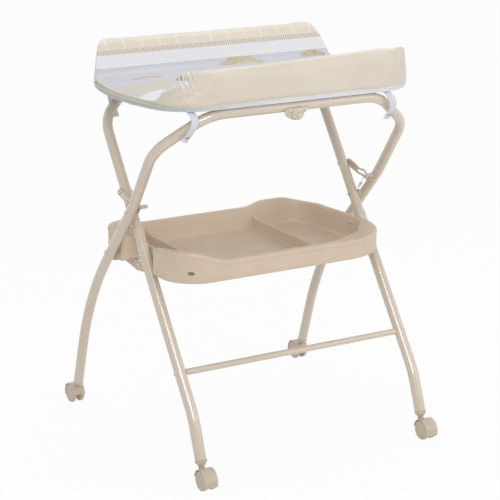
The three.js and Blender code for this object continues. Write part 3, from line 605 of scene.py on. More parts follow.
def apply_modifier(piece, kind, **settings):
    take(piece)
    modifier = piece.modifiers.new(kind.lower(), kind)
    for key, value in settings.items():
        setattr(modifier, key, value)
    bpy.ops.object.modifier_apply(modifier=modifier.name)


def softened(node, width, segments=2, angle=32):
    """A copy of a CAD node with its hard edges bevelled."""
    twin = copy_of(nodes[node], merge=True)
    apply_modifier(twin, "BEVEL", width=width, segments=segments, limit_method="ANGLE",
                   angle_limit=radians(angle), harden_normals=False)
    return twin


def cut(piece, cutter):
    """Cuts the cutter's shape out of the piece and throws the cutter away."""
    apply_modifier(piece, "BOOLEAN", object=cutter, operation="DIFFERENCE", solver="EXACT")
    bpy.data.objects.remove(cutter)


def join(pieces):
    """Joins finished shapes of one moulding into the first."""
    take(pieces[0])
    for other in pieces[1:]:
        other.select_set(True)
    bpy.ops.object.join()
    return pieces[0]


print("helpers ready")

# %% [markdown]
# ## The two frames
#
# Both frames are steel tube bent on a machine: straight runs joined by round bends. The front frame
# is a U-shaped top tube pushed into two legs, and the rear frame is one tube from foot to foot. A
# curve with a round section could do this too, but extruding and spinning a circle gives exact
# bends, a known radius at each, and even faces.

# %% Lines of the two frames
pivot_y, pivot_z = joints["fold"]["pos_m"][1:]
bar_z = joints["top_lift"]["pos_m"][2]
FRONT_X, REAR_X = 321 * mm, 356 * mm
TUBE_R, LEG_R = 13 * mm, 14.4 * mm
SEAM_Z, LEG_END_Z = 530 * mm, 66 * mm
FRONT_LEAN, FRONT_FOOT_LEAN, FRONT_KNEE_Z = 35.76, 20.5, 163.5 * mm
REAR_LEAN, REAR_TOP_LEAN, REAR_FOOT_LEAN = 42.5, 35, 18
REAR_SHOULDER_Z, REAR_KNEE_Z = 642 * mm, 332 * mm
CROSSBAR_Z = 255 * mm
CROSSBAR_R = 8.1                 # in mm, as every radius that is turned
# the corner between a leg and the bar is cut off this far down the leg and along the bar
FRONT_CORNER, REAR_CORNER = (86 * mm, 96 * mm), (107 * mm, 117 * mm)
FRONT_BEND, FRONT_KNEE_BEND = 96 * mm, 220 * mm
REAR_BENDS = [750 * mm, 420 * mm, 88 * mm, 120 * mm]     # knee, shoulder, both ends of the corner
LEG_OVERLAP = 8 * mm             # how far the top tube runs on inside the leg
# the leg's mouth, in mm along it: where it is cut, then from, to and how much wider it is made
MOUTH_CUTS = (2.5, 3.4, 5.2, 6.1, 16)
MOUTH = ((-1, 2.8, 1.05), (2.8, 3.8, 1.04), (3.8, 5.6, 0.955), (5.6, 6.6, 1.03))


def slope(degrees):
    return math.tan(radians(degrees))


def front_y(z):
    run = (pivot_z - max(z, FRONT_KNEE_Z)) * slope(FRONT_LEAN)
    return pivot_y - run - max(FRONT_KNEE_Z - z, 0) * slope(FRONT_FOOT_LEAN)


def rear_y(z):
    if z > pivot_z:
        run = (min(z, REAR_SHOULDER_Z) - pivot_z) * slope(REAR_LEAN)
        return pivot_y - run - max(z - REAR_SHOULDER_Z, 0) * slope(REAR_TOP_LEAN)
    run = (pivot_z - max(z, REAR_KNEE_Z)) * slope(REAR_LEAN)
    return pivot_y + run + max(REAR_KNEE_Z - z, 0) * slope(REAR_FOOT_LEAN)


def shoulder(side, x, bar_y, lean, drop, inset):
    """Ends of the cut-off corner between a leg and the top bar."""
    low = (side * x, bar_y + sin(lean) * drop, bar_z - cos(lean) * drop)
    return [low, (side * (x - inset), bar_y, bar_z)]


front_bar_y, rear_bar_y = front_y(bar_z), rear_y(bar_z)
print("bars at", round(front_bar_y, 4), round(rear_bar_y, 4))


# %% Front top tube and legs
def front_half(side):
    lean = -radians(FRONT_LEAN)
    foot_z = SEAM_Z - LEG_OVERLAP
    foot = (side * FRONT_X, front_y(foot_z), foot_z)
    return [foot, *shoulder(side, FRONT_X, front_bar_y, lean, *FRONT_CORNER)]


top_tube = bent_tube([*front_half(-1), *reversed(front_half(1))], [FRONT_BEND] * 4, TUBE_R)
hand_over(top_tube, "front_tube", paint, "front_frame", "paint", "front_top_tube")

leg = bent_tube([(FRONT_X, front_y(z), z) for z in (SEAM_Z, FRONT_KNEE_Z, LEG_END_Z)],
                [FRONT_KNEE_BEND], LEG_R, rim=0.7 * mm)
# the mouth has a shallow groove and then a flare, across the tube's own line
down_leg = (Vector((0, front_y(SEAM_Z - 0.1) - front_y(SEAM_Z), -0.1))).normalized()
mouth = Vector((FRONT_X, front_y(SEAM_Z), SEAM_Z))
edit(leg)
for along in MOUTH_CUTS:
    bpy.ops.mesh.select_all(action="SELECT")
    bpy.ops.mesh.bisect(plane_co=mouth + down_leg * along * mm, plane_no=down_leg)
for low, high, grow in MOUTH:
    pick(leg, "VERT", lambda v: low < (v.co - mouth).dot(down_leg) / mm < high)
    middle = mouth + down_leg * (low + high) / 2 * mm
    bpy.ops.transform.resize(value=(grow, grow, grow), center_override=middle)
deselect()
for side, sign in SIDES.items():
    twin = copy_of(leg)
    if sign < 0:
        twin.location.x = -2 * FRONT_X
    settle(twin)
    hand_over(twin, f"leg_{side}", paint, "front_frame", "paint", f"front_leg_{side}")
bpy.data.objects.remove(leg)
print("front frame done")


# %% Rear frame and crossbar
def rear_half(side):
    run = [(side * REAR_X, rear_y(z), z) for z in (LEG_END_Z, REAR_KNEE_Z, REAR_SHOULDER_Z)]
    lean = radians(REAR_TOP_LEAN)
    return [*run, *shoulder(side, REAR_X, rear_bar_y, lean, *REAR_CORNER)]


rear_tube = bent_tube([*rear_half(-1), *reversed(rear_half(1))],
                      [*REAR_BENDS, *reversed(REAR_BENDS)], TUBE_R, degrees=3)
hand_over(rear_tube, "rear_tube", paint, "rear_frame", "paint", "rear_frame_tube")

crossbar_low, crossbar_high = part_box("crossbar")
crossbar_l = (crossbar_high.x - crossbar_low.x) / mm
rim = [(CROSSBAR_R - 1.2, 0), (CROSSBAR_R - 0.3, 0.4), (CROSSBAR_R, 1.4)]
crossbar = turned([*rim, *((r, crossbar_l - h) for r, h in reversed(rim))],
                  (crossbar_low.x, front_y(CROSSBAR_Z), CROSSBAR_Z), (1, 0, 0))
hand_over(crossbar, "cross_tube", paint, "front_frame", "paint", "crossbar")
print("rear frame and crossbar done")

# %% [markdown]
# ## Bolts, pins and washers
#
# Small round-headed bolts hold the joints. Each head is turned once from a profile with a soft dome
# and a shallow socket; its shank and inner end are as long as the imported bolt's box says.


# %% Bolts through the tubes
def bolt_profile(length, head_r, head_t, shank_r, inner_head=False):
    """From the socket in the outer head down to the inner end, in mm."""
    top = length
    dome = [(1.2, top - 1.5), (1.7, top - 1.4), (1.9, top - 0.25), (2.4, top),
            (head_r * 0.72, top - 0.35), (head_r * 0.93, top - 1.1), (head_r, top - 2.0),
            (head_r, top - head_t + 0.2), (head_r - 0.3, top - head_t), (shank_r, top - head_t)]
    if inner_head:
        return [*dome, (shank_r, head_t), (head_r - 0.3, head_t), (head_r, head_t - 0.3),
                (head_r, 0.8), (head_r - 0.8, 0), (shank_r * 0.8, 0)]
    return [*dome, (shank_r, 0.6), (shank_r - 0.6, 0)]


# for each kind: its body, whether it has an inner head, how far its inner end is sunk in mm
BOLTS = {"pivot_bolt": ("front_frame", True, 0), "stay_bolt": ("front_frame", True, 0),
         "tray_bolt": ("front_frame", False, 4), "crossbar_bolt": ("front_frame", False, 0),
         "stay_pin": ("rear_frame", False, 0)}
for (kind, (body, inner_head, sunk)), (side, sign) in product(BOLTS.items(), SIDES.items()):
    node = f"{kind}_{side}"
    low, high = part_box(node)
    inner_x = (min(abs(low.x), abs(high.x)) + sunk * mm) * sign
    middle = (low + high) / 2
    profile = bolt_profile((high.x - low.x) / mm - sunk, head_r=4.3, head_t=3, shank_r=3,
                           inner_head=inner_head)
    piece = turned(profile, (inner_x, *middle.yz), (sign, 0, 0), sides=24)
    hand_over(piece, f"{node}_turned", bolt_zinc, body, "steel", node)
print("bolts done")

# %% Spacers, hooks, clips and plugs
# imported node, name of the piece, edge width in mm, finish, body, slot
SOFTENED = [("pivot_spacer", "spacer", 0.8, caster_plastic, "front_frame", "plastic"),
            ("tray_hook_pin", "hook_pin", 0.9, bolt_zinc, "rear_frame", "steel"),
            ("board_clip", "clip", 0.7, plate_paint, "changing_top", "paint")]
for side, sign in SIDES.items():
    for node, name, width, finish, body, slot in SOFTENED:
        hand_over(softened(f"{node}_{side}", width * mm), f"{name}_{side}", finish, body, slot,
                  f"{node}_{side}")
    ends = (("front", "front_frame", LEG_R / mm, front_y, FRONT_X),
            ("rear", "rear_frame", TUBE_R / mm, rear_y, REAR_X))
    for end, body, r, line_y, x in ends:
        foot = Vector((sign * x, line_y(LEG_END_Z), LEG_END_Z))
        upward = Vector((0, line_y(LEG_END_Z + 0.01) - line_y(LEG_END_Z), 0.01))
        profile = [(4, -13.6), (7.6, -13.6), (9, -12.6), (r - 3.4, -9.6), (r - 1.3, -6.8),
                   (r, -4.4), (r + 0.5, -2.6), (r + 0.5, -1.1), (r + 0.1, -0.5),
                   (r - 0.8, -0.3), (r - 3.4, -0.3), (r - 3.4, 8)]
        hand_over(turned(profile, foot, upward, 36), f"plug_{end}_{side}", caster_plastic, body,
                  "plastic", f"leg_plug_{end}_{side}")
    spring = nodes[f"lock_spring_{side}"].data.materials
    spring.clear()
    spring.append(spring_zinc)
print("fittings softened")

# %% [markdown]
# ## Lock stays
#
# A flat stamped plate on each side keeps the table open. Its edges are broken a little, as tumbling
# leaves them, and a finger tab like a pill is turned inward at its nose. The plate is the packed
# shape with bevelled edges; the tab is turned on its own.

# %% Lock stays and finger tabs
TAB_R = 4.75                     # radius of the pill-shaped tab, in mm
for side, sign in SIDES.items():
    body = f"lock_stay_{side}"
    plate = softened(body, 0.6 * mm, 2, 40)
    tip_x = min(abs(v.co.x) for v in plate.data.vertices)
    edit(plate)
    pick(plate, "VERT", lambda v: abs(v.co.x) < tip_x + 4 * mm)
    bpy.ops.transform.translate(value=(sign * 6 * mm, 0, 0))
    deselect()
    hand_over(plate, f"stay_plate_{side}", plate_paint, body, "paint", body)
    shape = [v.co for v in plate.data.vertices]
    tip_x = min(abs(p.x) for p in shape)
    tab = [p for p in shape if abs(p.x) < tip_x + 1 * mm]
    tab_y, tab_z = ((min(p[i] for p in tab) + max(p[i] for p in tab)) / 2 for i in (1, 2))
    dome = [radians(d) for d in (12, 28, 46, 66, 90)]
    pill = [(TAB_R * sin(a), TAB_R * (1 - cos(a))) for a in dome]
    pill += [(TAB_R, 18), (TAB_R + 0.8, 20), (TAB_R + 1.2, 21.2)]
    piece = turned(pill, (sign * (tip_x - 1.2 * mm), tab_y, tab_z), (sign, 0, 0))
    hand_over(piece, f"finger_tab_{side}", caster_plastic, body, "plastic")
print("stays done, tab at", round(tab_y, 4), round(tab_z, 4))

# %% [markdown]
# ## Casters
#
# Each leg stands on a twin-wheel furniture caster: a round hood on a stem, with a wheel in each
# side. One wheel is turned from its profile, with a proud rim and hub and a shallow dish, and
# copied to all eight places.

# %% Wheels
wheel_low, wheel_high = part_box("wheel_front_left_outer")
wheel_r = (wheel_high.z - wheel_low.z) / 2 / mm
wheel_w = (wheel_high.x - wheel_low.x) / mm
WHEEL_PROFILE = [
    (3.3, 0.3), (wheel_r - 3, 0.3), (wheel_r - 0.8, 1.2), (wheel_r, 2.6), (wheel_r, wheel_w - 3.4),
    (wheel_r - 0.5, wheel_w - 1.8), (wheel_r - 1.6, wheel_w - 0.5), (wheel_r - 2.6, wheel_w),
    (wheel_r - 5.2, wheel_w), (wheel_r - 6.0, wheel_w - 0.5), (wheel_r - 6.6, wheel_w - 1.5),
    (wheel_r - 7.6, wheel_w - 1.7), (8.6, wheel_w - 1.2), (7.4, wheel_w - 0.8),
    (6.8, wheel_w - 0.1), (4.2, wheel_w), (3.3, wheel_w - 0.4),
]
wheel = turned(WHEEL_PROFILE, sides=48, ring=True)
for end, (side, sign), place in product(ENDS, SIDES.items(), ("outer", "inner")):
    node = f"wheel_{end}_{side}_{place}"
    outward = sign if place == "outer" else -sign
    low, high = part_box(node)
    twin = copy_of(wheel)
    twin.rotation_euler.y = radians(90) * outward
    middle = (low + high) / 2
    twin.location = (low.x if outward > 0 else high.x, *middle.yz)
    settle(twin)
    hand_over(twin, f"{node}_turned", caster_plastic, node, "plastic", node)
bpy.data.objects.remove(wheel)
print("wheels, mm: radius", round(wheel_r, 1), "width", round(wheel_w, 1))

# %% Hoods and axles
CASTER_PARTS = [("hood", caster_plastic, "plastic", (0.9 * mm, 3, 35)),
                ("axle", bolt_zinc, "steel", (0.7 * mm,))]
for end, side, (name, finish, slot, edges) in product(ENDS, SIDES, CASTER_PARTS):
    place = f"{end}_{side}"
    node = f"caster_{name}_{place}"
    hand_over(softened(node, *edges), f"{name}_{place}", finish, f"caster_{place}", slot, node)
print("hoods done")

# %% [markdown]
# ## Storage tray
#
# The tray is one moulding: a tub inside a skirt, joined by a rolled lip. Its plan outline has four
# different corners and steps in beside the left leg, and its lip rises and widens at some corners.
# So one outline is worked out once, and each ring of the moulding is that outline inset by a little
# more and lifted to its own height. The rings run from the underside out, down the skirt, up and
# over the lip and down inside.

# %% Tray outline
TRAY_Y = joints["tray_tilt"]["pos_m"][1] / mm + 17      # middle of the tray, in mm
tray_low, tray_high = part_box("storage_tray")
HALF_Y, RIGHT_X, LEFT_FRONT_X, LEFT_BACK_X = 214, 305, 332, 338
NOTCH_FRONT, NOTCH_BACK = -60, 66    # ends of the straight part beside the left leg
FRONT_STEP, BACK_STEP = 21.6, 18     # how far the outline takes to step back out at each end
RIM_Z, FLOOR_Z, SKIRT_Z = 526, 466, 475
BACK_DRAW = 16                       # how far the right side draws in towards the back


def ramp(value, low, high):
    """0 below low, 1 above high, smooth between; of a number or an array."""
    t = np.clip((value - low) / (high - low), 0, 1)
    return t * t * (3 - 2 * t)


def tray_outline(d):
    """The plan outline in mm, inset by d, from the front right corner round to the left."""
    points = []

    def corner(x, y, r, start, n):
        sx, sy = math.copysign(1, x), math.copysign(1, y)
        for i in range(n + 1):
            a = radians(start + 90 * i / n)
            points.append((x - sx * r + (r - d) * cos(a), y - sy * r + (r - d) * sin(a)))

    def run(low, high, n, point):
        points.extend(point(low + (high - low) * (i + 0.5) / n) for i in range(n))

    def step(y0, y1, x0, x1):
        run(0, 1, 9, lambda v: (x0 + (x1 - x0) * ramp(v, 0, 1) + d, y0 + (y1 - y0) * v))

    def right_x(y):
        return RIGHT_X - BACK_DRAW * ramp(y, -30, 119)

    corner(RIGHT_X, -HALF_Y, 150, -90, 26)
    run(-64, 119, 14, lambda y: (right_x(y) - d, y))
    corner(right_x(HALF_Y), HALF_Y, 95, 0, 20)
    for low, high, n in ((210 - BACK_DRAW, 85, 14), (85, -235, 16), (-235, -273, 5)):
        run(low, high, n, lambda x: (x, HALF_Y - d))
    corner(-LEFT_BACK_X, HALF_Y, 65, 90, 16)
    run(149, NOTCH_BACK + BACK_STEP, 8, lambda y: (d - LEFT_BACK_X, y))
    step(NOTCH_BACK + BACK_STEP, NOTCH_BACK, -LEFT_BACK_X, -RIGHT_X)
    run(NOTCH_BACK, NOTCH_FRONT, 10, lambda y: (d - RIGHT_X, y))
    step(NOTCH_FRONT, NOTCH_FRONT - FRONT_STEP, -RIGHT_X, -LEFT_FRONT_X)
    run(NOTCH_FRONT - FRONT_STEP, -119, 4, lambda y: (d - LEFT_FRONT_X, y))
    corner(-LEFT_FRONT_X, -HALF_Y, 95, 180, 20)
    for low, high, n in ((-237, -190, 6), (-190, 90, 16), (90, 155, 8)):
        run(low, high, n, lambda x: (x, d - HALF_Y))
    return points


def rim_raise(x, y):
    """Extra height of the lip at the front left and at both back corners."""
    along = min(max((y + 165) / 125, 0), 1)
    front_left = ramp(-x, 185, 292) * (1 - along ** 2)
    back_right = ramp(x, 85, 145) * (1 - ramp(x, 190, 280)) * ramp(y, 80, 130)
    back_left = ramp(-x, 235, 280) * ramp(y, 120, 180)
    return max(26 * front_left, 13 * max(back_right, back_left))


def lip_spread(x, y):
    """Extra width of the lip at the front right and the back left."""
    return 30 * ramp(x, 90, 220) * ramp(-y, 40, 129) + 13 * ramp(-x, 240, 300) * ramp(y, 66, 95)


def lip_thin(x, y):
    """Where the lip is pinched thin beside the left leg, from 0 to 1."""
    return ramp(-x, 280, 300) * ramp(y, -92, -60) * (1 - ramp(y, 48, 84))


def skirt_drop(x, y):
    """How far the skirt hangs lower at the back left."""
    return ramp(-x, 290, 325) * (8 * ramp(y, 70, 84) + 10 * ramp(y, 90, 140))


print("outline points:", len(tray_outline(0)), "in a box of", tray_high - tray_low)

# %% Tray shell
# inset, height, share of the lip's raise, share of its spread
TRAY_RINGS = [
    (42, FLOOR_Z, 0, 1), (31, FLOOR_Z, 0, 1), (27.5, FLOOR_Z + 1.5, 0, 1), (26, FLOOR_Z + 5, 0, 1),
    (21, 493, 0.5, 1), (16.5, RIM_Z - 6, 1, 1), (4.5, RIM_Z - 6, 1, 0), (3.6, 496, 0.4, 0),
    (3.4, SKIRT_Z + 0.6, 0, 0), (2.9, SKIRT_Z, 0, 0), (1.4, SKIRT_Z, 0, 0),
    (0.9, SKIRT_Z + 0.7, 0, 0), (1.0, 490, 0.25, 0), (1.2, 508, 0.7, 0), (1.3, RIM_Z - 11.5, 1, 0),
    (0.4, RIM_Z - 10.2, 1, 0), (0, RIM_Z - 8, 1, 0), (0.5, RIM_Z - 5.2, 1, 0),
    (1.9, RIM_Z - 2.6, 1, 0), (4.2, RIM_Z - 0.8, 1, 0), (7.5, RIM_Z, 1, 0), (12.5, RIM_Z, 1, 1),
    (15.8, RIM_Z - 0.5, 1, 1), (17.8, RIM_Z - 2, 1, 1), (18.8, RIM_Z - 4.5, 1, 1),
    (21.5, 508, 0.7, 1), (25, 489, 0.2, 1), (27.2, 477, 0, 1), (28.4, 473, 0, 1),
    (30.6, 470.2, 0, 1), (34, 469.1, 0, 1), (44, 469, 0, 1),
]
base = tray_outline(0)
outlines = {}                        # by inset, since many rings share one


def outline_at(d):
    key = round(d, 2)
    if key not in outlines:
        outlines[key] = tray_outline(key)
    return outlines[key]


def tray_ring(inset, height, raised, within):
    ring = []
    for i, (x, y) in enumerate(base):
        pinched = inset - lip_thin(x, y) * min(0.62 * inset, 13.3)
        px, py = outline_at(pinched + within * lip_spread(x, y))[i]
        z = height + raised * rim_raise(x, y)
        if inset < 3.5 and height < SKIRT_Z + 1:
            z -= skirt_drop(x, y)
        ring.append(Vector((px, py + TRAY_Y, z)) * mm)
    return ring


tray = loft([tray_ring(*ring) for ring in TRAY_RINGS])
print("tray shell:", len(tray.data.polygons), "faces")


# %% Tray ribs, bosses and ears
def mirrored(pairs):
    """The same outline on the other side, in the order that carries it on."""
    return [(-a, b) for a, b in reversed(pairs)]


def rib(x):
    """A rounded divider across the tub, flared at its foot, its ends sunk into the walls."""
    flank = [(-8.5, 468), (-6, 470), (-5, 474), (-4.6, 492), (-4.1, 495.5), (-2.6, 497.6)]
    end = [(-190, 9), (-186, 4), (-181, 1.2), (-174, 0)]
    return loft([[Vector((x + u, y + TRAY_Y, z + lift * ramp(z, 474, 498))) * mm
                  for u, z in [*flank, (0, 498.3), *mirrored(flank)]]
                 for y, lift in [*end, *mirrored(end)]])


# an ear hangs below the skirt inside each leg, with a hole for the folding hook
TRAY_EAR = [(118, 472), (118, 453), (98, 450.5), (74, 448), (62, 447), (55, 444.5), (48, 443.5),
            (40, 445), (30, 446), (10, 449), (-10, 453), (-22, 458), (-26, 472)]
RIB_X = (-210, 108)
EAR_Y, EAR_Z = 42, 457               # its middle
HOOK_Y, HOOK_Z, HOOK_R = 46, 458, 4.4
BOSS_OUT_X = 306.4
parts = [tray, *map(rib, RIB_X)]
bolt_y, bolt_z = joints["tray_tilt"]["pos_m"][1:]
for sign in SIDES.values():
    deep = 23.4 if sign > 0 else 11.4       # the lip is thinner on the left
    boss = [(7.2, 0), (8, 0.8), (8, deep - 0.6), (7.4, deep), (3.4, deep)]
    parts.append(turned(boss, (sign * (BOSS_OUT_X - deep) * mm, bolt_y, bolt_z), (sign, 0, 0)))
    ear = loft([[Vector((sign * x, EAR_Y + (y - EAR_Y) * grow, EAR_Z + (z - EAR_Z) * grow)) * mm
                 for y, z in TRAY_EAR]
                for x, grow in ((303, 0.985), (303.4, 1), (304.6, 1), (305, 0.985))])
    cut(ear, turned([(HOOK_R, 0), (HOOK_R, 12)], Vector((sign * 297, HOOK_Y, HOOK_Z)) * mm,
                    (sign, 0, 0)))
    parts.append(ear)

# a thumb hole in the skirt, and a small hole near the front right corner
THUMB_HALF = Vector((9.4, 7, 5))     # half width, depth and height of the cutter, in mm
outwards = Vector((-0.545, -0.838, 0))
thumb = Vector((-237, -119 + TRAY_Y, 500.4)) * mm + outwards * 94.6 * mm
bpy.ops.mesh.primitive_uv_sphere_add(segments=40, ring_count=20, radius=1)
cutter = bpy.context.object
cutter.scale = THUMB_HALF * mm
cutter.rotation_euler.z = math.atan2(-outwards.x, outwards.y) + radians(180)
cutter.location = thumb
settle(cutter)
cut(tray, cutter)
cut(tray, turned([(2.6, 0), (2.6, 16)], Vector((201, -213, 500.8)) * mm, (0.26, -0.97, 0)))
tray = join(parts)
hand_over(tray, "tray_moulding", tray_plastic, "tray", "tray_plastic", "storage_tray", smooth=50)
print("tray:", len(tray.data.polygons), "faces")

# %% [markdown]
# ## Board
#
# The mat rests on a thin board. Its edge is bound in a white extrusion with a fine groove and a
# small lip above it that hugs the foot of the mat.


# %% Board
CORNER_STEPS, SIDE_STEPS = 16, 6


def top_outline(inset):
    """Plan outline of the board and mat in metres: straight long edges, bowed short ends."""
    hx, hy = MAT_HALF[0] - inset, MAT_HALF[1] - inset
    flat = hy - MAT_CORNER

    def end_x(y):
        return hx - MAT_BOW * (y / hy) ** 2

    quarter = [(end_x(flat * i / SIDE_STEPS), flat * i / SIDE_STEPS) for i in range(SIDE_STEPS)]
    for i in range(CORNER_STEPS + 1):
        a = math.pi / 2 * i / CORNER_STEPS
        y = flat + MAT_CORNER * sin(a)
        quarter.append((end_x(y) - MAT_CORNER * (1 - cos(a)), y))
    right = [*((x, -y) for x, y in reversed(quarter[1:])), *quarter]
    return [*right, *((-x, -y) for x, y in right)]


def top_ring(inset, z):
    return [Vector((x, y + board_y, z)) for x, y in top_outline(inset)]


# inset from the mat's outline and height, in mm: the edge up from the underside, then the rim
EDGE = [(12, 0), (6, 0), (3.9, 0.2), (3.2, 1.0), (3, 2.2), (3, 5.2), (3.15, 5.9), (3.6, 6.3),
        (3.1, 6.8)]
RIM = [(1.8, 0.4), (1.4, 3.4), (1.7, 4.4), (2.5, 4.9), (3.6, 4.6), (4.4, 3.0), (4.8, 0), (12, 0)]
board = loft([*(top_ring(inset * mm, board_low.z + up * mm) for inset, up in EDGE),
              *(top_ring(inset * mm, board_high.z + up * mm) for inset, up in RIM)])
hand_over(board, "board_sheet", board_finish, "changing_top", "board", "changing_board")
print("board:", len(board.data.polygons), "faces")

# %% [markdown]
# ## Padded mat
#
# The mat is foam in a tight cover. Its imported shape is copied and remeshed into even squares, and a
# cloth with air pressure in it is let settle for twenty frames, so that the cover swells between
# its edges and rounds over them. How far a point may move is capped, and the underside stays flat
# on the board. The gathers are too narrow for those squares, so they are pressed in afterwards.

# %% Mat: swell
SQUARE = 6 * mm
SWELL_CAP = 5 * mm
SWELL_FRAMES = 20
CLOTH = {"quality": 4, "mass": 0.3, "tension_stiffness": 18, "compression_stiffness": 18,
         "bending_stiffness": 0.6, "use_pressure": True, "uniform_pressure_force": 4,
         "vertex_group_mass": "held"}
mat = copy_of(nodes["changing_mat"], merge=True)
edit(mat)
bpy.ops.mesh.normals_make_consistent(inside=False)
deselect()
take(mat)
mat.data.remesh_voxel_size = SQUARE
mat.data.remesh_voxel_adaptivity = 0
bpy.ops.object.voxel_remesh()
apply_modifier(mat, "SMOOTH", factor=0.5, iterations=5)


def points_of(piece, what="co"):
    """The piece's points, or with what="normal" their normals, as an array."""
    flat = np.empty(len(piece.data.vertices) * 3)
    piece.data.vertices.foreach_get(what, flat)
    return flat.reshape(-1, 3)


def move_points(piece, points):
    piece.data.vertices.foreach_set("co", points.ravel())
    piece.data.update()


rest = points_of(mat)
under = rest[:, 2] < mat_low.z + 3 * mm
move_points(mat, np.where(under[:, None], rest * [1, 1, 0] + [0, 0, mat_low.z], rest))
rest = points_of(mat)


def swell(piece):
    """Cloth with air in it, its underside pinned; no point moves further than the cap."""
    held = piece.vertex_groups.new(name="held")
    held.add([int(i) for i in np.flatnonzero(under)], 1.0, "REPLACE")
    take(piece)
    cloth = piece.modifiers.new("cloth", "CLOTH")
    for name, value in CLOTH.items():
        setattr(cloth.settings, name, value)
    cloth.settings.effector_weights.gravity = 0
    cloth.collision_settings.use_collision = False
    cloth.point_cache.frame_start, cloth.point_cache.frame_end = 1, SWELL_FRAMES
    for step in range(1, SWELL_FRAMES + 1):
        scene.frame_set(step)
    bpy.ops.object.modifier_apply(modifier="cloth")
    scene.frame_set(1)
    push = points_of(piece) - rest
    length = np.linalg.norm(push, axis=1, keepdims=True)
    move_points(piece, rest + push * np.minimum(1, SWELL_CAP / np.maximum(length, 1e-9)))
    piece.vertex_groups.clear()
    return float(length.max())


print("largest swell before the cap, mm:", round(swell(mat) / mm, 1))
apply_modifier(mat, "SUBSURF", levels=1, render_levels=1)
print("mat:", len(mat.data.polygons), "faces")

# %% Mat: crests and foot
# the foam stands a little proud at the crests, and the cover is drawn in where it meets the rim
points = points_of(mat)
x, y, z = (points - [0, board_y, 0]).T / mm        # y from the board's middle


FAR_RISE, NEAR_SINK, NEAR_GAIN = 10, 5, 11     # mm; the near side rises towards its right end
DRAWN_IN = 2.8                                 # mm at the ends of the mat's foot
crest = ramp(z, 925, 985)
points[:, 2] += FAR_RISE * mm * crest * (y > 0)
points[:, 2] += (NEAR_GAIN * ramp(x, -300, 250) - NEAR_SINK) * mm * crest * (y < 0)
points[:, 0] += 9 * mm * crest * ramp(-y, 150, 190) * ramp(-x, 180, 260)
foot_z = mat_low.z / mm
drawn = 1 - ramp(z, foot_z + 5, foot_z + 13)
points[:, 0] *= 1 - DRAWN_IN / 376 * drawn
points[:, 1] += (board_y - points[:, 1]) * DRAWN_IN / 236 * drawn
move_points(mat, points)

# %% Mat: gathers and creases
points = points_of(mat)
normals = points_of(mat, "normal")
x, y, z = (points - [0, board_y, 0]).T / mm
outer = 1 / (1 + np.exp((y + 198) / 6))                # 1 on the near raised side
lift = np.zeros(len(points))


def hump(value, middle, width):
    return np.exp(-((value - middle) / width) ** 2)


# gathers where the near side's left end is sewn in: fan down from the upper corner
fan = x + 0.30 * (z - 985)
gather = hump(x, -292, 26) * hump(z, 972, 22) * outer
lift += 1.4 * gather * np.sin(fan * tau / 11.5) + 0.5 * gather * np.sin(fan * tau / 6.1)
foot = hump(x, -322, 20) * hump(z, 915, 11) * outer
lift += 0.9 * foot * np.sin((x + 0.5 * z) * tau / 10.5)
# two slanting creases by the near right strap, and a dimple by the right end
for start, depth_mm in ((222, 1.9), (240, 1.3)):
    across = x - start - 0.75 * (z - 905)
    fade = hump(z, 918, 15) * outer
    lift += depth_mm * fade * (hump(across, 0, 4.5) - 0.8 * hump(across, 8, 4.5))
lift += 1.6 * outer * (hump(x, 290, 4) - hump(x, 281, 5)) * hump(z, 976, 12)
# slack waves along the raised sides and a softly uneven trough
slack = np.array([noise.noise(Vector((px / 95, py / 60, pz / 70))) for px, py, pz in zip(x, y, z)])
lift += 0.9 * slack
lift[z < mat_low.z / mm + 2] = 0
move_points(mat, points + normals * lift[:, None] * mm)
hand_over(mat, "mat_cover", cover_cloth, "changing_top", "cover", "changing_mat", smooth=60)
print("gathers pressed in, up to", round(float(np.abs(lift).max()), 2), "mm")

# %% [markdown]
# ## Straps and press studs
#
# A webbing strap is sewn under each corner of the board. It bows forward over the tube, lies
# against it and ends in a flap with a press stud. Each strap is a thin flat section carried along a
# smooth line, turned a little as it goes.


# %% Straps
def smooth_line(knots, steps):
    """Points along a Catmull-Rom curve through the knots."""
    knots = [Vector(k) for k in knots]
    knots = [2 * knots[0] - knots[1], *knots, 2 * knots[-1] - knots[-2]]
    line = []
    for a, b, c, d in zip(knots, knots[1:], knots[2:], knots[3:]):
        for i in range(steps):
            t = i / steps
            line.append(0.5 * (2 * b + (c - a) * t + (2 * a - 5 * b + 4 * c - d) * t ** 2
                               + (3 * b - a - 3 * c + d) * t ** 3))
    return [*line, knots[-2]]


STRAP_W, STRAP_T = 19 * mm, 1.6 * mm
STUD_FROM_END = 8                # in points along the strap
STRAP_SECTION = [(-0.5, -0.2), (-0.47, -0.5), (0.47, -0.5), (0.5, -0.2), (0.5, 0.2), (0.47, 0.5),
                 (-0.47, 0.5), (-0.5, 0.2)]


def strap(knots):
    """Returns the strap and a seat for the stud: a point of its line and which way is out."""
    line = smooth_line([Vector(k) * mm for k in knots], 6)
    rings = []
    for i, here in enumerate(line):
        ahead = line[min(i + 1, len(line) - 1)] - line[max(i - 1, 0)]
        ahead.normalize()
        across = (Vector((1, 0, 0)) - ahead * ahead.x).normalized()
        up = across.cross(ahead).normalized()
        rings.append([here + across * u * STRAP_W + up * v * STRAP_T for u, v in STRAP_SECTION])
        if i == len(line) - STUD_FROM_END:
            seat = (here, -up if up.y > 0 else up)
    return loft(rings), seat


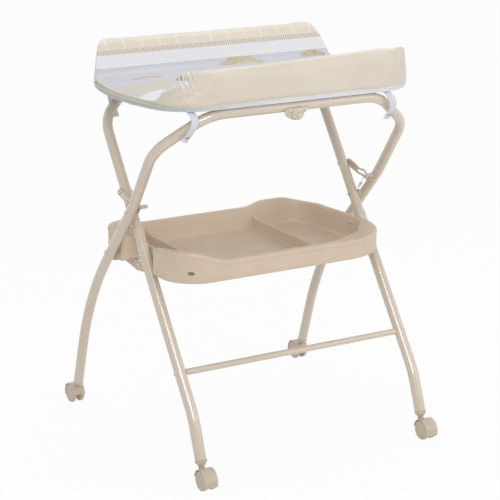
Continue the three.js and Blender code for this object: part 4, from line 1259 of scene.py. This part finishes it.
# knots in mm from under the board down to the free end; the rear ones are mirrored for the left
FRONT_KNOTS = {
    "left": [(-283, -204, 893.6), (-287, -219, 893.2), (-285.5, -230, 886), (-283, -233.5, 873),
             (-285, -230, 858), (-289, -221, 844), (-294, -212, 832), (-299, -206, 821)],
    "right": [(256, -204, 893.6), (258, -219, 893.2), (263, -230, 884), (270, -233.5, 871),
              (274, -231, 857), (275, -223, 843), (273, -213.5, 831), (270, -207, 819)],
}
REAR_KNOTS = [(290, 248, 893.8), (290, 232, 893.8), (291, 219.5, 889), (291.5, 214.5, 876),
              (291, 208, 860), (290, 201, 843), (289, 195, 827), (288, 189, 811)]
STUD = [(5.0, 0), (5.3, 0.4), (5.2, 1.6), (4.5, 2.6), (3.6, 2.9), (3.0, 2.5), (1.4, 2.3)]
for side, sign in SIDES.items():
    rear_knots = [(sign * x, y, z) for x, y, z in REAR_KNOTS]
    for end, knots in (("front", FRONT_KNOTS[side]), ("rear", rear_knots)):
        piece, (here, up) = strap(knots)
        node = f"strap_{end}_{side}"
        hand_over(piece, f"{node}_woven", tape, "changing_top", "webbing", node, smooth=50)
        stud = turned(STUD, here + up * (STRAP_T / 2 - 0.1 * mm), up)
        hand_over(stud, f"stud_{end}_{side}", stud_metal, "changing_top", "steel",
                  f"strap_stud_{end}_{side}")
print("straps and studs done")

# %% [markdown]
# ## Catch under the front bar
#
# A stamped plate with two ears is screwed to the front top bar. Its middle stands forward as a
# shallow hood with a round knob. Its rings follow the ears' outline at the tube and shrink to
# the hood's outline in front.

# %% Catch plate
plate_low, plate_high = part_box("catch_plate")
catch_x = (plate_low.x + plate_high.x) / 2
EAR_PLAN = [(-30, -19), (-30, -12), (-25, -5.5), (22, -4), (31, -8), (32, -15), (27, -19.5),
            (21, -20), (18, -25), (13, -31), (4, -35.5), (-6, -34.5), (-20, -29), (-26, -24)]
HOOD_PLAN = [(-11, -18), (-11, -10), (-9, -5.2), (18, -4.5), (20, -8), (20.5, -14), (20.5, -20),
             (20, -25), (16, -31), (7, -34.8), (-1, -33.5), (-10, -30), (-11, -25)]
HUB = Vector((5, -19))
PLAN_POINTS = 64


def around(plan, size):
    """The plan resampled at even angles about the hub, so that rings match point for point."""
    ring = []
    for i in range(PLAN_POINTS):
        ray = Vector((cos(tau * i / PLAN_POINTS), sin(tau * i / PLAN_POINTS)))
        best = 0
        for a, b in zip(plan, plan[1:] + plan[:1]):
            a, b = Vector(a) - HUB, Vector(b) - HUB
            side = b - a
            det = side.cross(ray)
            if abs(det) > 1e-9:
                t, u = side.cross(a) / det, ray.cross(a) / det
                if t > 0 and -0.001 <= u <= 1.001:
                    best = max(best, t)
        ring.append(HUB + ray * best * size)
    for _ in range(2):      # round the corners
        ring = [(last + 2 * here + onward) / 4 for last, here, onward
                in zip(ring[-1:] + ring, ring, ring[1:] + ring[:1])]
    return ring


# plan, distance from the tube in mm, size: the ears at the tube, then the hood in front
CATCH_RINGS = [(EAR_PLAN, 0, 0.97), (EAR_PLAN, 0.5, 1), (EAR_PLAN, 2.0, 1), (EAR_PLAN, 2.5, 0.97),
               (HOOD_PLAN, 2.6, 1.08), (HOOD_PLAN, 3.4, 1.03), (HOOD_PLAN, 6.6, 1),
               (HOOD_PLAN, 7.6, 0.95), (HOOD_PLAN, 8.0, 0.87)]
catch = loft([[Vector((catch_x + p.x * mm, plate_high.y - away * mm, bar_z + (3 + p.y) * mm))
               for p in around(plan, size)] for plan, away, size in CATCH_RINGS])
hand_over(catch, "catch_bracket", plate_paint, "rear_frame", "paint", "catch_plate")

# %% Catch screws and knob
SCREW_X, SCREW_DROP = {"left": -25, "right": 19}, 7.5        # below the bar's middle, in mm
for side, seat_x in SCREW_X.items():
    node = f"catch_screw_{side}"
    low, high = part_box(node)
    screw = turned(bolt_profile((high.y - low.y) / mm, head_r=4.4, head_t=2.4, shank_r=2),
                   (seat_x * mm, high.y, bar_z - SCREW_DROP * mm), (0, -1, 0), 24)
    hand_over(screw, f"{node}_turned", bolt_zinc, "rear_frame", "steel", node)
low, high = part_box("catch_knob")
KNOB = [(2, 0), (2, 9), (6.6, 9.2), (7.3, 9.8), (7.4, 11.6), (7.0, 12.7), (5.8, 13.4), (3.4, 13.8),
        (1.0, 13.9)]
knob = turned(KNOB, ((low.x + high.x) / 2 + 3 * mm, high.y, (low.z + high.z) / 2 + 3 * mm),
              (0, -1, 0), 36)
hand_over(knob, "catch_button", knob_plastic, "rear_frame", "plastic", "catch_knob")
print("catch done")
